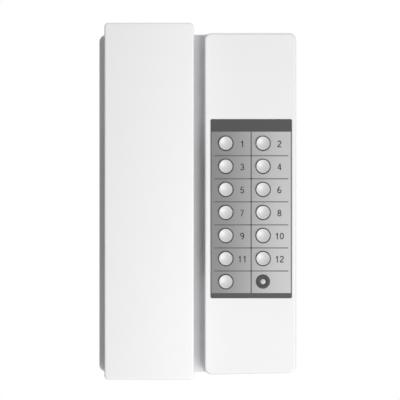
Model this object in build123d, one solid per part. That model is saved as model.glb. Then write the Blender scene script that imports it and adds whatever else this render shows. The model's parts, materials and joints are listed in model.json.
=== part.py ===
"""A wall intercom: a slab handset on its cradle, beside a raised console of round keys.

All sizes are in millimetres. Every piece is drawn lying on its back, as on a bench: x runs to
the right, y runs up the wall and z comes out of the wall towards the user. The last step stands
the pieces up, so that in the files the length runs along +Z and the front looks along -Y. The
origin is the centre of the wall bracket's back face.
"""

import os
from math import cos, pi, sin

from build123d import *

# Wall thicknesses and running clearances
COVER_WALL = 2.2
REAR_WALL = 2.0
HANDSET_WALL = 2.0
SEAT_GAP = 0.3
SLIDE_GAP = 0.05
FIT_GAP = 0.2
OVERRUN = 1.0
NEAR = 0.01

# Keypad: two columns of cells, seven rows, each cell with its key near the left
KEY_ROWS = 7
KEY_COLUMNS = 2
CELL_WIDTH = 23.4
CELL_HEIGHT = 14.5
KEY_IN_CELL = 7.4
KEY_RADIUS = 4.2
KEY_HOLE_GAP = 0.5
KEY_EDGE = 0.5
KEY_STAND = 1.6
KEY_WING = 1.6
KEY_WING_WIDTH = 3.0
KEY_WING_THICKNESS = 1.2
KEY_FOOT = 2.2

# Keypad label, let into the console's face
LABEL_SIDE = 2.2
LABEL_HEADER = 7.9
LABEL_FOOTER = 3.2
LABEL_CORNER = 1.0
LABEL_THICKNESS = 0.25
LABEL_RECESS = 0.35
LABEL_GAP = 0.15

# Lamp beside the page key
LENS_RADIUS = 1.75
LENS_LENGTH = 5.3
LENS_STAND = 0.7
LENS_EDGE = 0.4
LENS_FLANGE = 0.4
LENS_FLANGE_HEIGHT = 1.0
LEG_WIDTH = 0.5
LEG_SPACING = 2.54
RING_RADIUS = 4.5
RING_HEIGHT = 0.3
RING_SLEEVE = 0.6

# Console and cradle, the front cover's two levels
CONSOLE_LEFT_MARGIN = 3.7
CONSOLE_RIGHT_MARGIN = 2.8
CONSOLE_HEAD_MARGIN = 54.3
CONSOLE_FOOT_MARGIN = 47.5
CONSOLE_RISE = 15.0
CONSOLE_CORNER = 4.5
CONSOLE_EDGE = 1.5
CONSOLE_FOOT_DROP = 0.7
CONSOLE_FOOT_RISE = 1.2
GROOVE_WIDTH = 6.75
FLANGE_WIDTH = 4.65
CRADLE_CORNER = 4.6
CRADLE_EDGE = 1.2
CRADLE_COVE = 1.2

# Depths off the wall
BACK_GAP = 0.3
PARTING_DEPTH = 14.0
RECESS_DEPTH = 4.7
SPEAKER_ROOM = 2.8

# Call speaker under the cradle floor
SPEAKER_RADIUS = 20.0
SPEAKER_DEPTH = 11.0
SPEAKER_FLANGE = 1.5
SPEAKER_BASKET_RADIUS = 15.0
SPEAKER_BASKET_DEPTH = 3.5
MAGNET_RADIUS = 9.5
SPEAKER_RIB = 1.5
SPEAKER_RIB_DEPTH = 2.5
SOUND_SLOTS = 5
SOUND_SLOT_LENGTH = 24.0
SOUND_SLOT_WIDTH = 2.0
SOUND_SLOT_PITCH = 4.6

# Handset
HANDSET_WIDTH = 55.5
HANDSET_HEAD = 4.9
HANDSET_HEEL = 2.3
HANDSET_LIFT = 1.3
HANDSET_CORNER = 2.6
HANDSET_INNER_CORNER = 1.6
HANDSET_FRONT_EDGE = 1.0
HANDSET_CROWN = 0.9
FINGER_ROOM = 17.0
GRIP_THICKNESS = 18.0
FRONT_SHELL_HEIGHT = 10.0
ARCH_RUN = 11.0
ARCH_RADIUS = 12.0
ARCH_LIP = 4.0
HEEL_RADIUS = 4.0
BLOCK_LANDING = 13.0

# Ear and mouth cups, and the wells that they rest in
CUP_RADIUS = 20.0
CUP_EDGE = 1.5
CUP_DISH_DEPTH = 0.6
CUP_DISH_RADIUS = 14.0
WELL_GAP = 1.0
WELL_DEPTH = 4.4
WELL_MARGIN = 2.0
SOUND_HOLE_RADIUS = 0.9
EAR_HOLE_RING = 5.5
EAR_HOLES = 6
MOUTH_HOLE_RING = 3.0
MOUTH_HOLES = 4

# Hanger lug in the cradle and its pocket in the handset
LUG_OFFSET = -10.0
LUG_WIDTH = 12.0
LUG_THICKNESS = 4.0
LUG_HEIGHT = 9.0
LUG_NOSE = 1.6
LUG_NOSE_HEIGHT = 3.0
POCKET_GAP = 1.0
POCKET_WALL = 1.5

# Hook plunger, its spring and its switch
PLUNGER_OFFSET = 12.0
PLUNGER_RADIUS = 3.0
PLUNGER_TRAVEL = 3.5
PLUNGER_FLANGE = 1.6
PLUNGER_FLANGE_HEIGHT = 1.2
PLUNGER_TIP_EDGE = 0.8
PLUNGER_STEM_RADIUS = 1.2
PLUNGER_STEM = 2.0
PLUNGER_ARM = 13.0
PLUNGER_ARM_WIDTH = 4.0
GUIDE_LENGTH = 3.0
GUIDE_WALL = 1.6
SPRING_RADIUS = 2.6
SPRING_WIRE = 0.6
SWITCH_LENGTH = 12.8
SWITCH_WIDTH = 5.8
SWITCH_BUTTON = 1.0
SWITCH_BUTTON_LENGTH = 2.4
SWITCH_RIB = 1.2
SWITCH_RIB_HEIGHT = 3.0

# Keypad mat and main circuit board
MAT_WEB = 1.0
MAT_DOME = 1.8
MAT_DOME_WIDTH = 8.6
MAT_DOME_TAPER = 30
MAT_MARGIN = 1.8
BOARD_THICKNESS = 1.6
BOARD_SIDE_GAP = 1.6
BOARD_MARGIN = 12.0
BOARD_POST_INSET = 4.0
BOARD_CORNER = 1.0
POST_WIDTH = 5.0

# Parts on the back of the main board, placed by shares of its width and length
TRANSFORMER_SHARES = (-0.2, -0.36)
RELAY_SHARES = (0.22, -0.36)
CAPACITOR_SHARES = (0.2, -0.2)
TRANSFORMER_WIDTH = 17.0
TRANSFORMER_LENGTH = 14.0
TRANSFORMER_HEIGHT = 11.0
BOBBIN_SHARE = 0.62
BOBBIN_BULGE = 2.0
RELAY_WIDTH = 15.0
RELAY_LENGTH = 10.0
RELAY_HEIGHT = 8.5
RELAY_EDGE = 0.6
CAPACITOR_RADIUS = 3.15
CAPACITOR_HEIGHT = 10.0
CAPACITOR_COUNT = 3
CAPACITOR_PITCH = 9.0

# Terminal board and blocks, reached through a window in the rear cover
TERMINAL_X = 14.0
TERMINAL_Y = 22.0
TERMINAL_WAYS = 6
TERMINAL_PITCH = 5.0
TERMINAL_BLOCK_WIDTH = 8.0
TERMINAL_BLOCK_HEIGHT = 8.5
TERMINAL_BLOCK_GAP = 2.0
TERMINAL_EDGE = 1.5
TERMINAL_WELL = 3.4
TERMINAL_PORT = 2.4
WINDOW_MARGIN = 1.0
TERMINAL_POST_INSET = 3.5
TERMINAL_POST_OUTSET = 2.0
LINK_PINS = 6
LINK_PITCH = 2.54
LINK_WIDTH = 2.5
LINK_X_SHARE = 0.8

# Cord jacks: small modular sockets in the base's foot and the handset's heel
JACK_WIDTH = 11.2
JACK_HEIGHT = 11.0
JACK_DEPTH = 13.0
JACK_MOUTH_WIDTH = 7.8
JACK_MOUTH_HEIGHT = 6.0
JACK_MOUTH_DEPTH = 10.0
JACK_LATCH_WIDTH = 3.4
JACK_LATCH_HEIGHT = 2.0
JACK_SIDE_INSET = 17.9
JACK_INSET = 0.3

# Wall bracket
GANG_SPACING = 83.5
GANG_SLOT_LENGTH = 10.0
GANG_SLOT_WIDTH = 4.2
BRACKET_WIDTH = 84.0
BRACKET_LENGTH = 150.0
BRACKET_THICKNESS = 1.2
BRACKET_CORNER = 6.0
BRACKET_GAP = 1.0
SCREW_HOLE_INSET_X = 8.0
SCREW_HOLE_INSET_Y = 9.0
SCREW_HOLE_RADIUS = 2.25
WINDOW_WEB = 21.0
WINDOW_LENGTH = 23.0
WINDOW_LEFT = 20.0
WINDOW_RIGHT = 32.0
WINDOW_CORNER = 3.0
TAB_INSET_X = 6.0
TAB_Y = 48.0
TAB_WIDTH = 8.0
TAB_NOSE = 5.0

# Case screws, bosses and the covers' overlap
REAR_INSET = 1.2
REAR_CORNER = 3.0
REAR_INNER_CORNER = 2.0
REAR_EDGE = 1.0
LIP_THICKNESS = 1.2
LIP_HEIGHT = 2.0
BOSS_RADIUS = 3.2
BOSS_END_INSET = 9.2
PILLAR_RADIUS = 4.0
PILLAR_HEIGHT = 8.7
COUNTERBORE_DEPTH = 4.0
SCREW_RADIUS = 1.4
SCREW_HEAD_RADIUS = 2.7
SCREW_HEAD_HEIGHT = 1.9
SCREW_GRIP = 9.0
SCREW_PASS_GAP = 0.25
HEAD_GAP = 0.4

# Handset inside
PAD_THICKNESS = 1.5
PAD_RADIUS = 15.0
PAD_HOLE_RADIUS = 10.0
RECEIVER_HEIGHT = 8.0
RECEIVER_MAGNET_RADIUS = 8.0
RECEIVER_MAGNET_HEIGHT = 3.0
MICROPHONE_RADIUS = 4.85
MICROPHONE_HEIGHT = 6.0
BOOT_WALL = 2.0
BOOT_FLOOR = 1.5
BOOT_HOLE_RADIUS = 2.0
BOOT_RIB_WALL = 1.5
BOOT_RIB_HEIGHT = 4.0
WEIGHT_WIDTH = 30.0
WEIGHT_LENGTH = 58.0
WEIGHT_THICKNESS = 6.0
WEIGHT_RIB = 1.5
WEIGHT_RIB_HEIGHT = 4.0
HANDSET_BOARD_LENGTH = 40.0
HANDSET_BOARD_GAP = 2.6
HANDSET_PILLAR_HEIGHT = 9.0
HANDSET_COUNTERBORE = 6.0

# Turns, in degrees
QUARTER_TURN = 90
FULL_TURN = 2 * pi

# Places worked out from the sizes above, x and y on the bench
LABEL_WIDTH = KEY_COLUMNS * CELL_WIDTH + 2 * LABEL_SIDE
LABEL_LENGTH = LABEL_HEADER + KEY_ROWS * CELL_HEIGHT + LABEL_FOOTER
CONSOLE_WIDTH = CONSOLE_LEFT_MARGIN + LABEL_WIDTH + CONSOLE_RIGHT_MARGIN
COVER_WIDTH = FLANGE_WIDTH + HANDSET_WIDTH + GROOVE_WIDTH + CONSOLE_WIDTH
COVER_LENGTH = CONSOLE_HEAD_MARGIN + LABEL_LENGTH + CONSOLE_FOOT_MARGIN
COVER_LEFT = -COVER_WIDTH / 2
COVER_RIGHT = COVER_WIDTH / 2
COVER_HEAD = COVER_LENGTH / 2
COVER_FOOT = -COVER_LENGTH / 2
CONSOLE_LEFT = COVER_RIGHT - CONSOLE_WIDTH
LABEL_LEFT = CONSOLE_LEFT + CONSOLE_LEFT_MARGIN
LABEL_X = LABEL_LEFT + LABEL_WIDTH / 2
LABEL_HEAD = COVER_HEAD - CONSOLE_HEAD_MARGIN
LABEL_Y = LABEL_HEAD - LABEL_LENGTH / 2
HANDSET_X = COVER_LEFT + FLANGE_WIDTH + HANDSET_WIDTH / 2
HANDSET_TOP = COVER_HEAD + HANDSET_HEAD
HANDSET_BOTTOM = COVER_FOOT - HANDSET_HEEL
WELL_RADIUS = CUP_RADIUS + WELL_GAP
CUP_Y = COVER_HEAD - COVER_WALL - WELL_MARGIN - WELL_RADIUS
BLOCK_INNER = CUP_Y - CUP_RADIUS - BLOCK_LANDING
LANDING_Y = BLOCK_INNER + BLOCK_LANDING / 2
LUG_X = HANDSET_X + LUG_OFFSET
PLUNGER_X = HANDSET_X + PLUNGER_OFFSET
SWITCH_X = PLUNGER_X + PLUNGER_ARM
JACK_X = COVER_LEFT + JACK_SIDE_INSET
LIP_HALF_WIDTH = COVER_WIDTH / 2 - COVER_WALL - FIT_GAP
LIP_HEAD = COVER_HEAD - COVER_WALL - FIT_GAP
LIP_FOOT = COVER_FOOT - CONSOLE_FOOT_DROP + CONSOLE_FOOT_RISE + COVER_WALL + FIT_GAP
BOSS_X = LIP_HALF_WIDTH - LIP_THICKNESS - FIT_GAP - BOSS_RADIUS
BOSS_Y = COVER_LENGTH / 2 - BOSS_END_INSET

# Depths worked out, from the wall outwards
REAR_FLOOR = BACK_GAP + REAR_WALL
RECESS_ROOF = BACK_GAP + RECESS_DEPTH
RECESS_FLOOR = RECESS_ROOF + REAR_WALL
SPEAKER_BACK = RECESS_FLOOR + SPEAKER_ROOM
CRADLE_CEILING = SPEAKER_BACK + SPEAKER_DEPTH
CRADLE_FACE = CRADLE_CEILING + COVER_WALL
CONSOLE_FACE = CRADLE_FACE + CONSOLE_RISE
CONSOLE_CEILING = CONSOLE_FACE - COVER_WALL
WING_TOP = CONSOLE_CEILING - SEAT_GAP
WING_FOOT = WING_TOP - KEY_WING_THICKNESS
KEY_BOTTOM = WING_FOOT - KEY_FOOT
MAT_TOP = KEY_BOTTOM - SEAT_GAP
BOARD_FACE = MAT_TOP - MAT_DOME - MAT_WEB
BOARD_BACK = BOARD_FACE - BOARD_THICKNESS
WELL_FLOOR = CRADLE_FACE - WELL_DEPTH
CUP_END = WELL_FLOOR + SEAT_GAP
BLOCK_BACK = CRADLE_FACE + HANDSET_LIFT
GRIP_BACK = CRADLE_FACE + FINGER_ROOM
HANDSET_FACE = GRIP_BACK + GRIP_THICKNESS
HANDSET_SEAM = HANDSET_FACE - FRONT_SHELL_HEIGHT
PILLAR_TOP = BACK_GAP + PILLAR_HEIGHT
PLUNGER_TIP = BLOCK_BACK - SEAT_GAP
FLANGE_TOP = CRADLE_CEILING - GUIDE_LENGTH - SEAT_GAP - PLUNGER_TRAVEL
FLANGE_FOOT = FLANGE_TOP - PLUNGER_FLANGE_HEIGHT
TERMINAL_BACK = RECESS_FLOOR + SEAT_GAP + TERMINAL_BLOCK_HEIGHT
TERMINAL_FACE = TERMINAL_BACK + BOARD_THICKNESS
CUP_FLOOR = CUP_END + HANDSET_WALL
BLOCK_FLOOR = BLOCK_BACK + HANDSET_WALL
BOOT_TOP = CUP_FLOOR + BOOT_FLOOR + MICROPHONE_HEIGHT
HANDSET_BOARD_BACK = BOOT_TOP + HANDSET_BOARD_GAP
HANDSET_BOARD_FACE = HANDSET_BOARD_BACK + BOARD_THICKNESS
HANDSET_PILLAR_TOP = BLOCK_BACK + HANDSET_PILLAR_HEIGHT


def block(x, y, width, length, low, high, corner=0):
    """A flat block about (x, y), rounded at its corners, between two depths."""
    outline = RectangleRounded(width, length, corner) if corner else Rectangle(width, length)
    return Pos(x, y, low) * extrude(outline, high - low)


def disc(x, y, radius, low, high):
    """A round bar about (x, y) between two depths."""
    return Pos(x, y, low) * extrude(Circle(radius), high - low)


def tube(x, y, outer, inner, low, high):
    """A round sleeve about (x, y) between two depths."""
    return Pos(x, y, low) * extrude(Circle(outer) - Circle(inner), high - low)


def slot(x, y, length, width, low, high, turn=0):
    """A round-ended bar, lying along x before it is turned."""
    return Pos(x, y, low) * extrude(Rot(0, 0, turn) * SlotOverall(length, width), high - low)


def turned(x, y, profile):
    """A turned solid about (x, y), from (radius, depth) points that start and end on its axis."""
    face = Plane.XZ * make_face(Polyline(*profile, close=True))
    return Pos(x, y) * revolve(face, Axis.Z)


def soften(solid, radius, end):
    """Round the edges of a solid's highest (end -1) or lowest (end 0) face."""
    return fillet(solid.edges().group_by(Axis.Z)[end], radius)


def bevel(solid, width, end):
    """Cut back the edges of a solid's highest (end -1) or lowest (end 0) face."""
    return chamfer(solid.edges().group_by(Axis.Z)[end], width)


def key_places():
    """The centre of each cell's key, row by row, left column first."""
    return [
        (
            LABEL_LEFT + LABEL_SIDE + column * CELL_WIDTH + KEY_IN_CELL,
            LABEL_HEAD - LABEL_HEADER - (row + 1 / 2) * CELL_HEIGHT,
        )
        for row in range(KEY_ROWS)
        for column in range(KEY_COLUMNS)
    ]


KEY_PLACES = key_places()[:-1]
LAMP_PLACE = key_places()[-1]


def corner_places(x, y, half_width, half_length):
    """The four corners of a rectangle about (x, y)."""
    return [(x + i * half_width, y + j * half_length) for i in (-1, 1) for j in (-1, 1)]


CASE_SCREW_PLACES = corner_places(0, 0, BOSS_X, BOSS_Y)

BOARD_WIDTH = CONSOLE_WIDTH - 2 * COVER_WALL - 2 * BOARD_SIDE_GAP
BOARD_LENGTH = LABEL_LENGTH + 2 * BOARD_MARGIN
BOARD_X = CONSOLE_LEFT + CONSOLE_WIDTH / 2
BOARD_POSTS = corner_places(
    BOARD_X, LABEL_Y, BOARD_WIDTH / 2 - BOARD_POST_INSET, BOARD_LENGTH / 2 - BOARD_POST_INSET
)
TERMINAL_ROW = TERMINAL_WAYS * TERMINAL_PITCH
WINDOW_WIDTH = TERMINAL_ROW + 2 * WINDOW_MARGIN
WINDOW_HEIGHT = 2 * TERMINAL_BLOCK_WIDTH + TERMINAL_BLOCK_GAP + 2 * WINDOW_MARGIN
TERMINAL_POSTS = corner_places(
    TERMINAL_X,
    TERMINAL_Y,
    (WINDOW_WIDTH + POST_WIDTH) / 2,
    (WINDOW_HEIGHT + POST_WIDTH) / 2,
)
TERMINAL_BOARD_WIDTH = WINDOW_WIDTH + POST_WIDTH + 2 * TERMINAL_POST_INSET
TERMINAL_BOARD_LENGTH = WINDOW_HEIGHT + POST_WIDTH + 2 * TERMINAL_POST_OUTSET
HANDSET_SCREW_X = HANDSET_WIDTH / 2 - HANDSET_WALL - PILLAR_RADIUS
HANDSET_SCREW_PLACES = [
    (HANDSET_X + side * HANDSET_SCREW_X, y)
    for side in (-1, 1)
    for y in (
        HANDSET_TOP - HANDSET_WALL - PILLAR_RADIUS,
        HANDSET_BOTTOM + HANDSET_WALL + PILLAR_RADIUS,
    )
]


def tray_edges(edge):
    """True for an edge of the cradle's face that lies on its open outline."""
    middle = edge.center()
    on_face = middle.Z > CRADLE_FACE - NEAR
    at_left = middle.X < COVER_LEFT + CRADLE_CORNER
    at_end = abs(middle.Y) > COVER_LENGTH / 2 - NEAR and middle.X < CONSOLE_LEFT
    return on_face and (at_left or at_end)


def cradle_tray():
    """The cradle's solid block: a floor with rounded rims, coved up to the console's foot."""
    tuck = CONSOLE_LEFT + 2 * CONSOLE_CORNER
    corner = (CONSOLE_LEFT, CRADLE_FACE)
    section = make_face(
        Polyline(
            corner,
            (CONSOLE_LEFT, CRADLE_FACE + CRADLE_COVE),
            (tuck, CRADLE_FACE + CRADLE_COVE),
            (tuck, PARTING_DEPTH),
            (COVER_LEFT, PARTING_DEPTH),
            (COVER_LEFT, CRADLE_FACE),
            close=True,
        )
    )
    coved = fillet(section.vertices().sort_by_distance(corner)[0], CRADLE_COVE - NEAR)
    tray = extrude(Plane.XZ * coved, COVER_LENGTH / 2, both=True)
    tray = fillet(tray.edges().filter_by(Axis.Z).group_by(Axis.X)[0], CRADLE_CORNER)
    return fillet(tray.edges().filter_by(tray_edges), CRADLE_EDGE)


def console_outline(inset):
    """The console seen from the front, its lower end slanted, drawn in by a wall."""
    left = CONSOLE_LEFT + inset
    right = COVER_RIGHT - inset
    head = COVER_HEAD - inset
    foot = COVER_FOOT - CONSOLE_FOOT_DROP + inset
    face = make_face(
        Polyline(
            (left, head),
            (right, head),
            (right, foot + CONSOLE_FOOT_RISE),
            (left, foot),
            close=True,
        )
    )
    return fillet(face.vertices(), CONSOLE_CORNER - inset)


def console_block():
    """The console's solid block, from the parting line to its rounded front."""
    raised = extrude(console_outline(0), CONSOLE_FACE - PARTING_DEPTH)
    return Pos(0, 0, PARTING_DEPTH) * soften(raised, CONSOLE_EDGE, -1)


def cover_cavity():
    """The hollow inside the front cover, open towards the wall."""
    inner_width = CONSOLE_LEFT + 2 * CONSOLE_CORNER - COVER_LEFT - COVER_WALL
    tray = block(
        COVER_LEFT + COVER_WALL + inner_width / 2,
        0,
        inner_width,
        COVER_LENGTH - 2 * COVER_WALL,
        PARTING_DEPTH - OVERRUN,
        CRADLE_CEILING,
        CRADLE_CORNER - COVER_WALL,
    )
    console = extrude(console_outline(COVER_WALL), CONSOLE_CEILING - PARTING_DEPTH + OVERRUN)
    return tray + Pos(0, 0, PARTING_DEPTH - OVERRUN) * console


def wells():
    """The two round wells that take the handset's cups: their outsides and their hollows."""
    outsides = [
        disc(HANDSET_X, side * CUP_Y, WELL_RADIUS + COVER_WALL, WELL_FLOOR - COVER_WALL, CRADLE_CEILING)
        for side in (-1, 1)
    ]
    hollows = [
        disc(HANDSET_X, side * CUP_Y, WELL_RADIUS, WELL_FLOOR, CRADLE_FACE + OVERRUN)
        for side in (-1, 1)
    ]
    return outsides, hollows


def hanger_lug():
    """The lug that the handset hangs on: a wedge-rooted tongue with a nose turned up."""
    root = LANDING_Y - LUG_THICKNESS / 2
    top = LANDING_Y + LUG_THICKNESS / 2
    tip = CRADLE_FACE + LUG_HEIGHT
    section = make_face(
        Polyline(
            (root, CRADLE_CEILING),
            (top, CRADLE_CEILING),
            (top, tip - LUG_NOSE_HEIGHT),
            (top + LUG_NOSE, tip - LUG_NOSE),
            (top + LUG_NOSE, tip),
            (top, tip),
            (root, tip - LUG_NOSE),
            close=True,
        )
    )
    return Pos(LUG_X, 0, 0) * extrude(Plane.YZ * section, LUG_WIDTH / 2, both=True)


def sound_slots():
    """A bank of round-ended slots through the cradle floor, over the call speaker."""
    middle = (SOUND_SLOTS - 1) / 2
    return [
        slot(
            HANDSET_X,
            (i - middle) * SOUND_SLOT_PITCH,
            SOUND_SLOT_LENGTH,
            SOUND_SLOT_WIDTH,
            CRADLE_CEILING - OVERRUN,
            CRADLE_FACE + OVERRUN,
        )
        for i in range(SOUND_SLOTS)
    ]


def key_openings(gap, low, high):
    """Round holes for the keys and the lamp ring, between two depths."""
    keys = [disc(x, y, KEY_RADIUS + gap, low, high) for x, y in KEY_PLACES]
    return keys + [disc(*LAMP_PLACE, LENS_RADIUS + RING_SLEEVE + gap / 2, low, high)]


def jack_port(x, wall_y, low):
    """The square hole that a cord jack's face fills, cut inwards from an end wall."""
    width = JACK_WIDTH + 2 * FIT_GAP
    length = JACK_DEPTH + 2 * OVERRUN
    centre = wall_y + JACK_INSET + length / 2 - 2 * OVERRUN + FIT_GAP
    return block(x, centre, width, length, low, low + JACK_HEIGHT + FIT_GAP)


def front_cover():
    """Cradle and console in one hollow moulding, with its wells, lug, posts and openings."""
    outsides, hollows = wells()
    shell = cradle_tray() + console_block() - cover_cavity()
    ring_low = CRADLE_CEILING - SPEAKER_RIB_DEPTH
    ring_bore = SPEAKER_RADIUS + FIT_GAP
    guide = PLUNGER_RADIUS + SLIDE_GAP
    guide_foot = CRADLE_CEILING - GUIDE_LENGTH
    solids = [
        hanger_lug(),
        tube(HANDSET_X, 0, ring_bore + SPEAKER_RIB, ring_bore, ring_low, CRADLE_CEILING),
        disc(PLUNGER_X, LANDING_Y, guide + GUIDE_WALL, guide_foot, CRADLE_CEILING),
    ]
    for x, y in CASE_SCREW_PLACES:
        ceiling = CRADLE_CEILING if x < 0 else CONSOLE_CEILING
        solids.append(disc(x, y, BOSS_RADIUS, PILLAR_TOP, ceiling))
    for x, y in BOARD_POSTS:
        solids.append(block(x, y, POST_WIDTH, POST_WIDTH, BOARD_FACE, CONSOLE_CEILING))
    shell = shell + outsides + solids

    label_width = LABEL_WIDTH + 2 * LABEL_GAP
    label_length = LABEL_LENGTH + 2 * LABEL_GAP
    label_floor = CONSOLE_FACE - LABEL_RECESS
    cuts = [
        *hollows,
        *sound_slots(),
        *key_openings(KEY_HOLE_GAP, CONSOLE_CEILING - OVERRUN, CONSOLE_FACE + OVERRUN),
        disc(PLUNGER_X, LANDING_Y, guide, guide_foot - OVERRUN, CRADLE_FACE + OVERRUN),
        block(
            LABEL_X, LABEL_Y, label_width, label_length,
            label_floor, CONSOLE_FACE + OVERRUN, LABEL_CORNER + LABEL_GAP,
        ),
        jack_port(JACK_X, COVER_FOOT + REAR_INSET, REAR_FLOOR),
    ]
    for x, y in CASE_SCREW_PLACES:
        cuts.append(disc(x, y, SCREW_RADIUS + SLIDE_GAP, PILLAR_TOP, PILLAR_TOP + SCREW_GRIP))
    return shell - cuts


def cover_lip():
    """The thin wall on the rear cover's rim that stands up inside the front cover."""
    middle = (LIP_HEAD + LIP_FOOT) / 2
    width = 2 * LIP_HALF_WIDTH
    length = LIP_HEAD - LIP_FOOT
    low = PARTING_DEPTH - LIP_HEIGHT
    high = PARTING_DEPTH + LIP_HEIGHT
    inner_width = width - 2 * LIP_THICKNESS
    inner_length = length - 2 * LIP_THICKNESS
    outside = block(0, middle, width, length, low, high, REAR_INNER_CORNER)
    inside = block(
        0, middle, inner_width, inner_length, low - OVERRUN, high + OVERRUN, REAR_INNER_CORNER
    )
    return outside - inside


def rear_cover():
    """The back tray: bracket recess, terminal window, screw pillars, posts and a lip."""
    width = COVER_WIDTH - 2 * REAR_INSET
    length = COVER_LENGTH - 2 * REAR_INSET
    tray = bevel(block(0, 0, width, length, BACK_GAP, PARTING_DEPTH, REAR_CORNER), REAR_EDGE, 0)
    tray -= block(
        0,
        0,
        width - 2 * REAR_WALL,
        length - 2 * REAR_WALL,
        REAR_FLOOR,
        PARTING_DEPTH + OVERRUN,
        REAR_INNER_CORNER,
    )
    recess_width = BRACKET_WIDTH + 2 * BRACKET_GAP
    recess_length = BRACKET_LENGTH + 2 * BRACKET_GAP
    raised = block(
        0,
        0,
        recess_width + 2 * REAR_WALL,
        recess_length + 2 * REAR_WALL,
        BACK_GAP,
        RECESS_FLOOR,
        BRACKET_CORNER + REAR_WALL,
    )
    solids = [cover_lip(), raised]
    solids += [disc(x, y, PILLAR_RADIUS, BACK_GAP, PILLAR_TOP) for x, y in CASE_SCREW_PLACES]
    solids += [
        block(x, y, POST_WIDTH, POST_WIDTH, RECESS_ROOF, TERMINAL_BACK) for x, y in TERMINAL_POSTS
    ]
    solids += switch_ribs()
    cuts = [
        block(
            0, 0, recess_width, recess_length, BACK_GAP - OVERRUN, RECESS_ROOF, BRACKET_CORNER
        ),
        block(
            TERMINAL_X, TERMINAL_Y, WINDOW_WIDTH, WINDOW_HEIGHT,
            RECESS_ROOF - OVERRUN, RECESS_FLOOR + OVERRUN, WINDOW_MARGIN,
        ),
        jack_port(JACK_X, COVER_FOOT + REAR_INSET, REAR_FLOOR),
    ]
    for x, y in CASE_SCREW_PLACES:
        bore = SCREW_HEAD_RADIUS + HEAD_GAP
        cuts.append(disc(x, y, bore, BACK_GAP - OVERRUN, BACK_GAP + COUNTERBORE_DEPTH))
        cuts.append(disc(x, y, SCREW_RADIUS + SCREW_PASS_GAP, BACK_GAP, PILLAR_TOP + OVERRUN))
    for x, y in tab_places():
        low, high = RECESS_ROOF - OVERRUN, RECESS_FLOOR + OVERRUN
        reach = TAB_NOSE + SEAT_GAP
        height = reach + BRACKET_THICKNESS + SEAT_GAP
        centre = y + BRACKET_THICKNESS / 2 + SEAT_GAP - height / 2
        cuts.append(block(x, centre, TAB_WIDTH + 2 * BRACKET_GAP, height, low, high))
    return tray + solids - cuts


def switch_ribs():
    """Two ribs on the rear cover that hold the hook switch between them."""
    offset = SWITCH_WIDTH / 2 + FIT_GAP + SWITCH_RIB / 2
    return [
        block(
            SWITCH_X, LANDING_Y + side * offset, SWITCH_LENGTH, SWITCH_RIB,
            RECESS_ROOF, RECESS_FLOOR + SWITCH_RIB_HEIGHT,
        )
        for side in (-1, 1)
    ]


def tab_places():
    """Where the bracket's four tabs stand, at the middle of each tab's leg."""
    return corner_places(0, 0, BRACKET_WIDTH / 2 - TAB_INSET_X, TAB_Y)


def wall_bracket():
    """The pressed steel plate: box slots, screw holes, wiring windows and turned-up tabs."""
    plate = block(0, 0, BRACKET_WIDTH, BRACKET_LENGTH, 0, BRACKET_THICKNESS, BRACKET_CORNER)
    low, high = -OVERRUN, BRACKET_THICKNESS + OVERRUN
    window_y = WINDOW_WEB / 2 + WINDOW_LENGTH / 2
    right = WINDOW_RIGHT
    cuts = [
        block(
            (right - WINDOW_LEFT) / 2, window_y, right + WINDOW_LEFT, WINDOW_LENGTH,
            low, high, WINDOW_CORNER,
        ),
        block(0, -window_y, 2 * WINDOW_LEFT, WINDOW_LENGTH, low, high, WINDOW_CORNER),
    ]
    cuts += [
        slot(
            0, side * GANG_SPACING / 2, GANG_SLOT_LENGTH, GANG_SLOT_WIDTH, low, high, QUARTER_TURN
        )
        for side in (-1, 1)
    ]
    screw_holes = corner_places(
        0, 0, BRACKET_WIDTH / 2 - SCREW_HOLE_INSET_X, BRACKET_LENGTH / 2 - SCREW_HOLE_INSET_Y
    )
    cuts += [disc(x, y, SCREW_HOLE_RADIUS, low, high) for x, y in screw_holes]
    solids = []
    nose_low = RECESS_FLOOR + SEAT_GAP
    nose_high = nose_low + BRACKET_THICKNESS
    for x, y in tab_places():
        nose = TAB_NOSE + BRACKET_THICKNESS
        lanced = TAB_NOSE + nose
        cuts.append(block(x, y - BRACKET_THICKNESS / 2 - lanced / 2, TAB_WIDTH, lanced, low, high))
        solids.append(block(x, y, TAB_WIDTH, BRACKET_THICKNESS, 0, nose_high))
        middle = y - BRACKET_THICKNESS / 2 + nose / 2
        solids.append(block(x, middle, TAB_WIDTH, nose, nose_low, nose_high))
    return plate - cuts + solids


def screw(x, y, head, shank, direction):
    """A screw: head is the depth of its seat, shank its length, direction its way in."""
    crown = head - direction * SCREW_HEAD_HEIGHT
    tip = head + direction * shank
    return turned(
        x,
        y,
        [
            (0, crown),
            (SCREW_HEAD_RADIUS, crown),
            (SCREW_HEAD_RADIUS, head),
            (SCREW_RADIUS, head),
            (SCREW_RADIUS, tip),
            (0, tip),
        ],
    )


def case_screws():
    """The four screws from the rear cover up into the front cover's bosses."""
    seat = BACK_GAP + COUNTERBORE_DEPTH
    shank = PILLAR_TOP - seat + SCREW_GRIP - OVERRUN
    return [screw(x, y, seat, shank, 1) for x, y in CASE_SCREW_PLACES]


def keypad_label():
    """The thin label in the console's recess, holed for the keys and the lamp."""
    floor = CONSOLE_FACE - LABEL_RECESS
    top = floor + LABEL_THICKNESS
    sheet = block(LABEL_X, LABEL_Y, LABEL_WIDTH, LABEL_LENGTH, floor, top, LABEL_CORNER)
    return sheet - key_openings(KEY_HOLE_GAP, floor - OVERRUN, top + OVERRUN)


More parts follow.
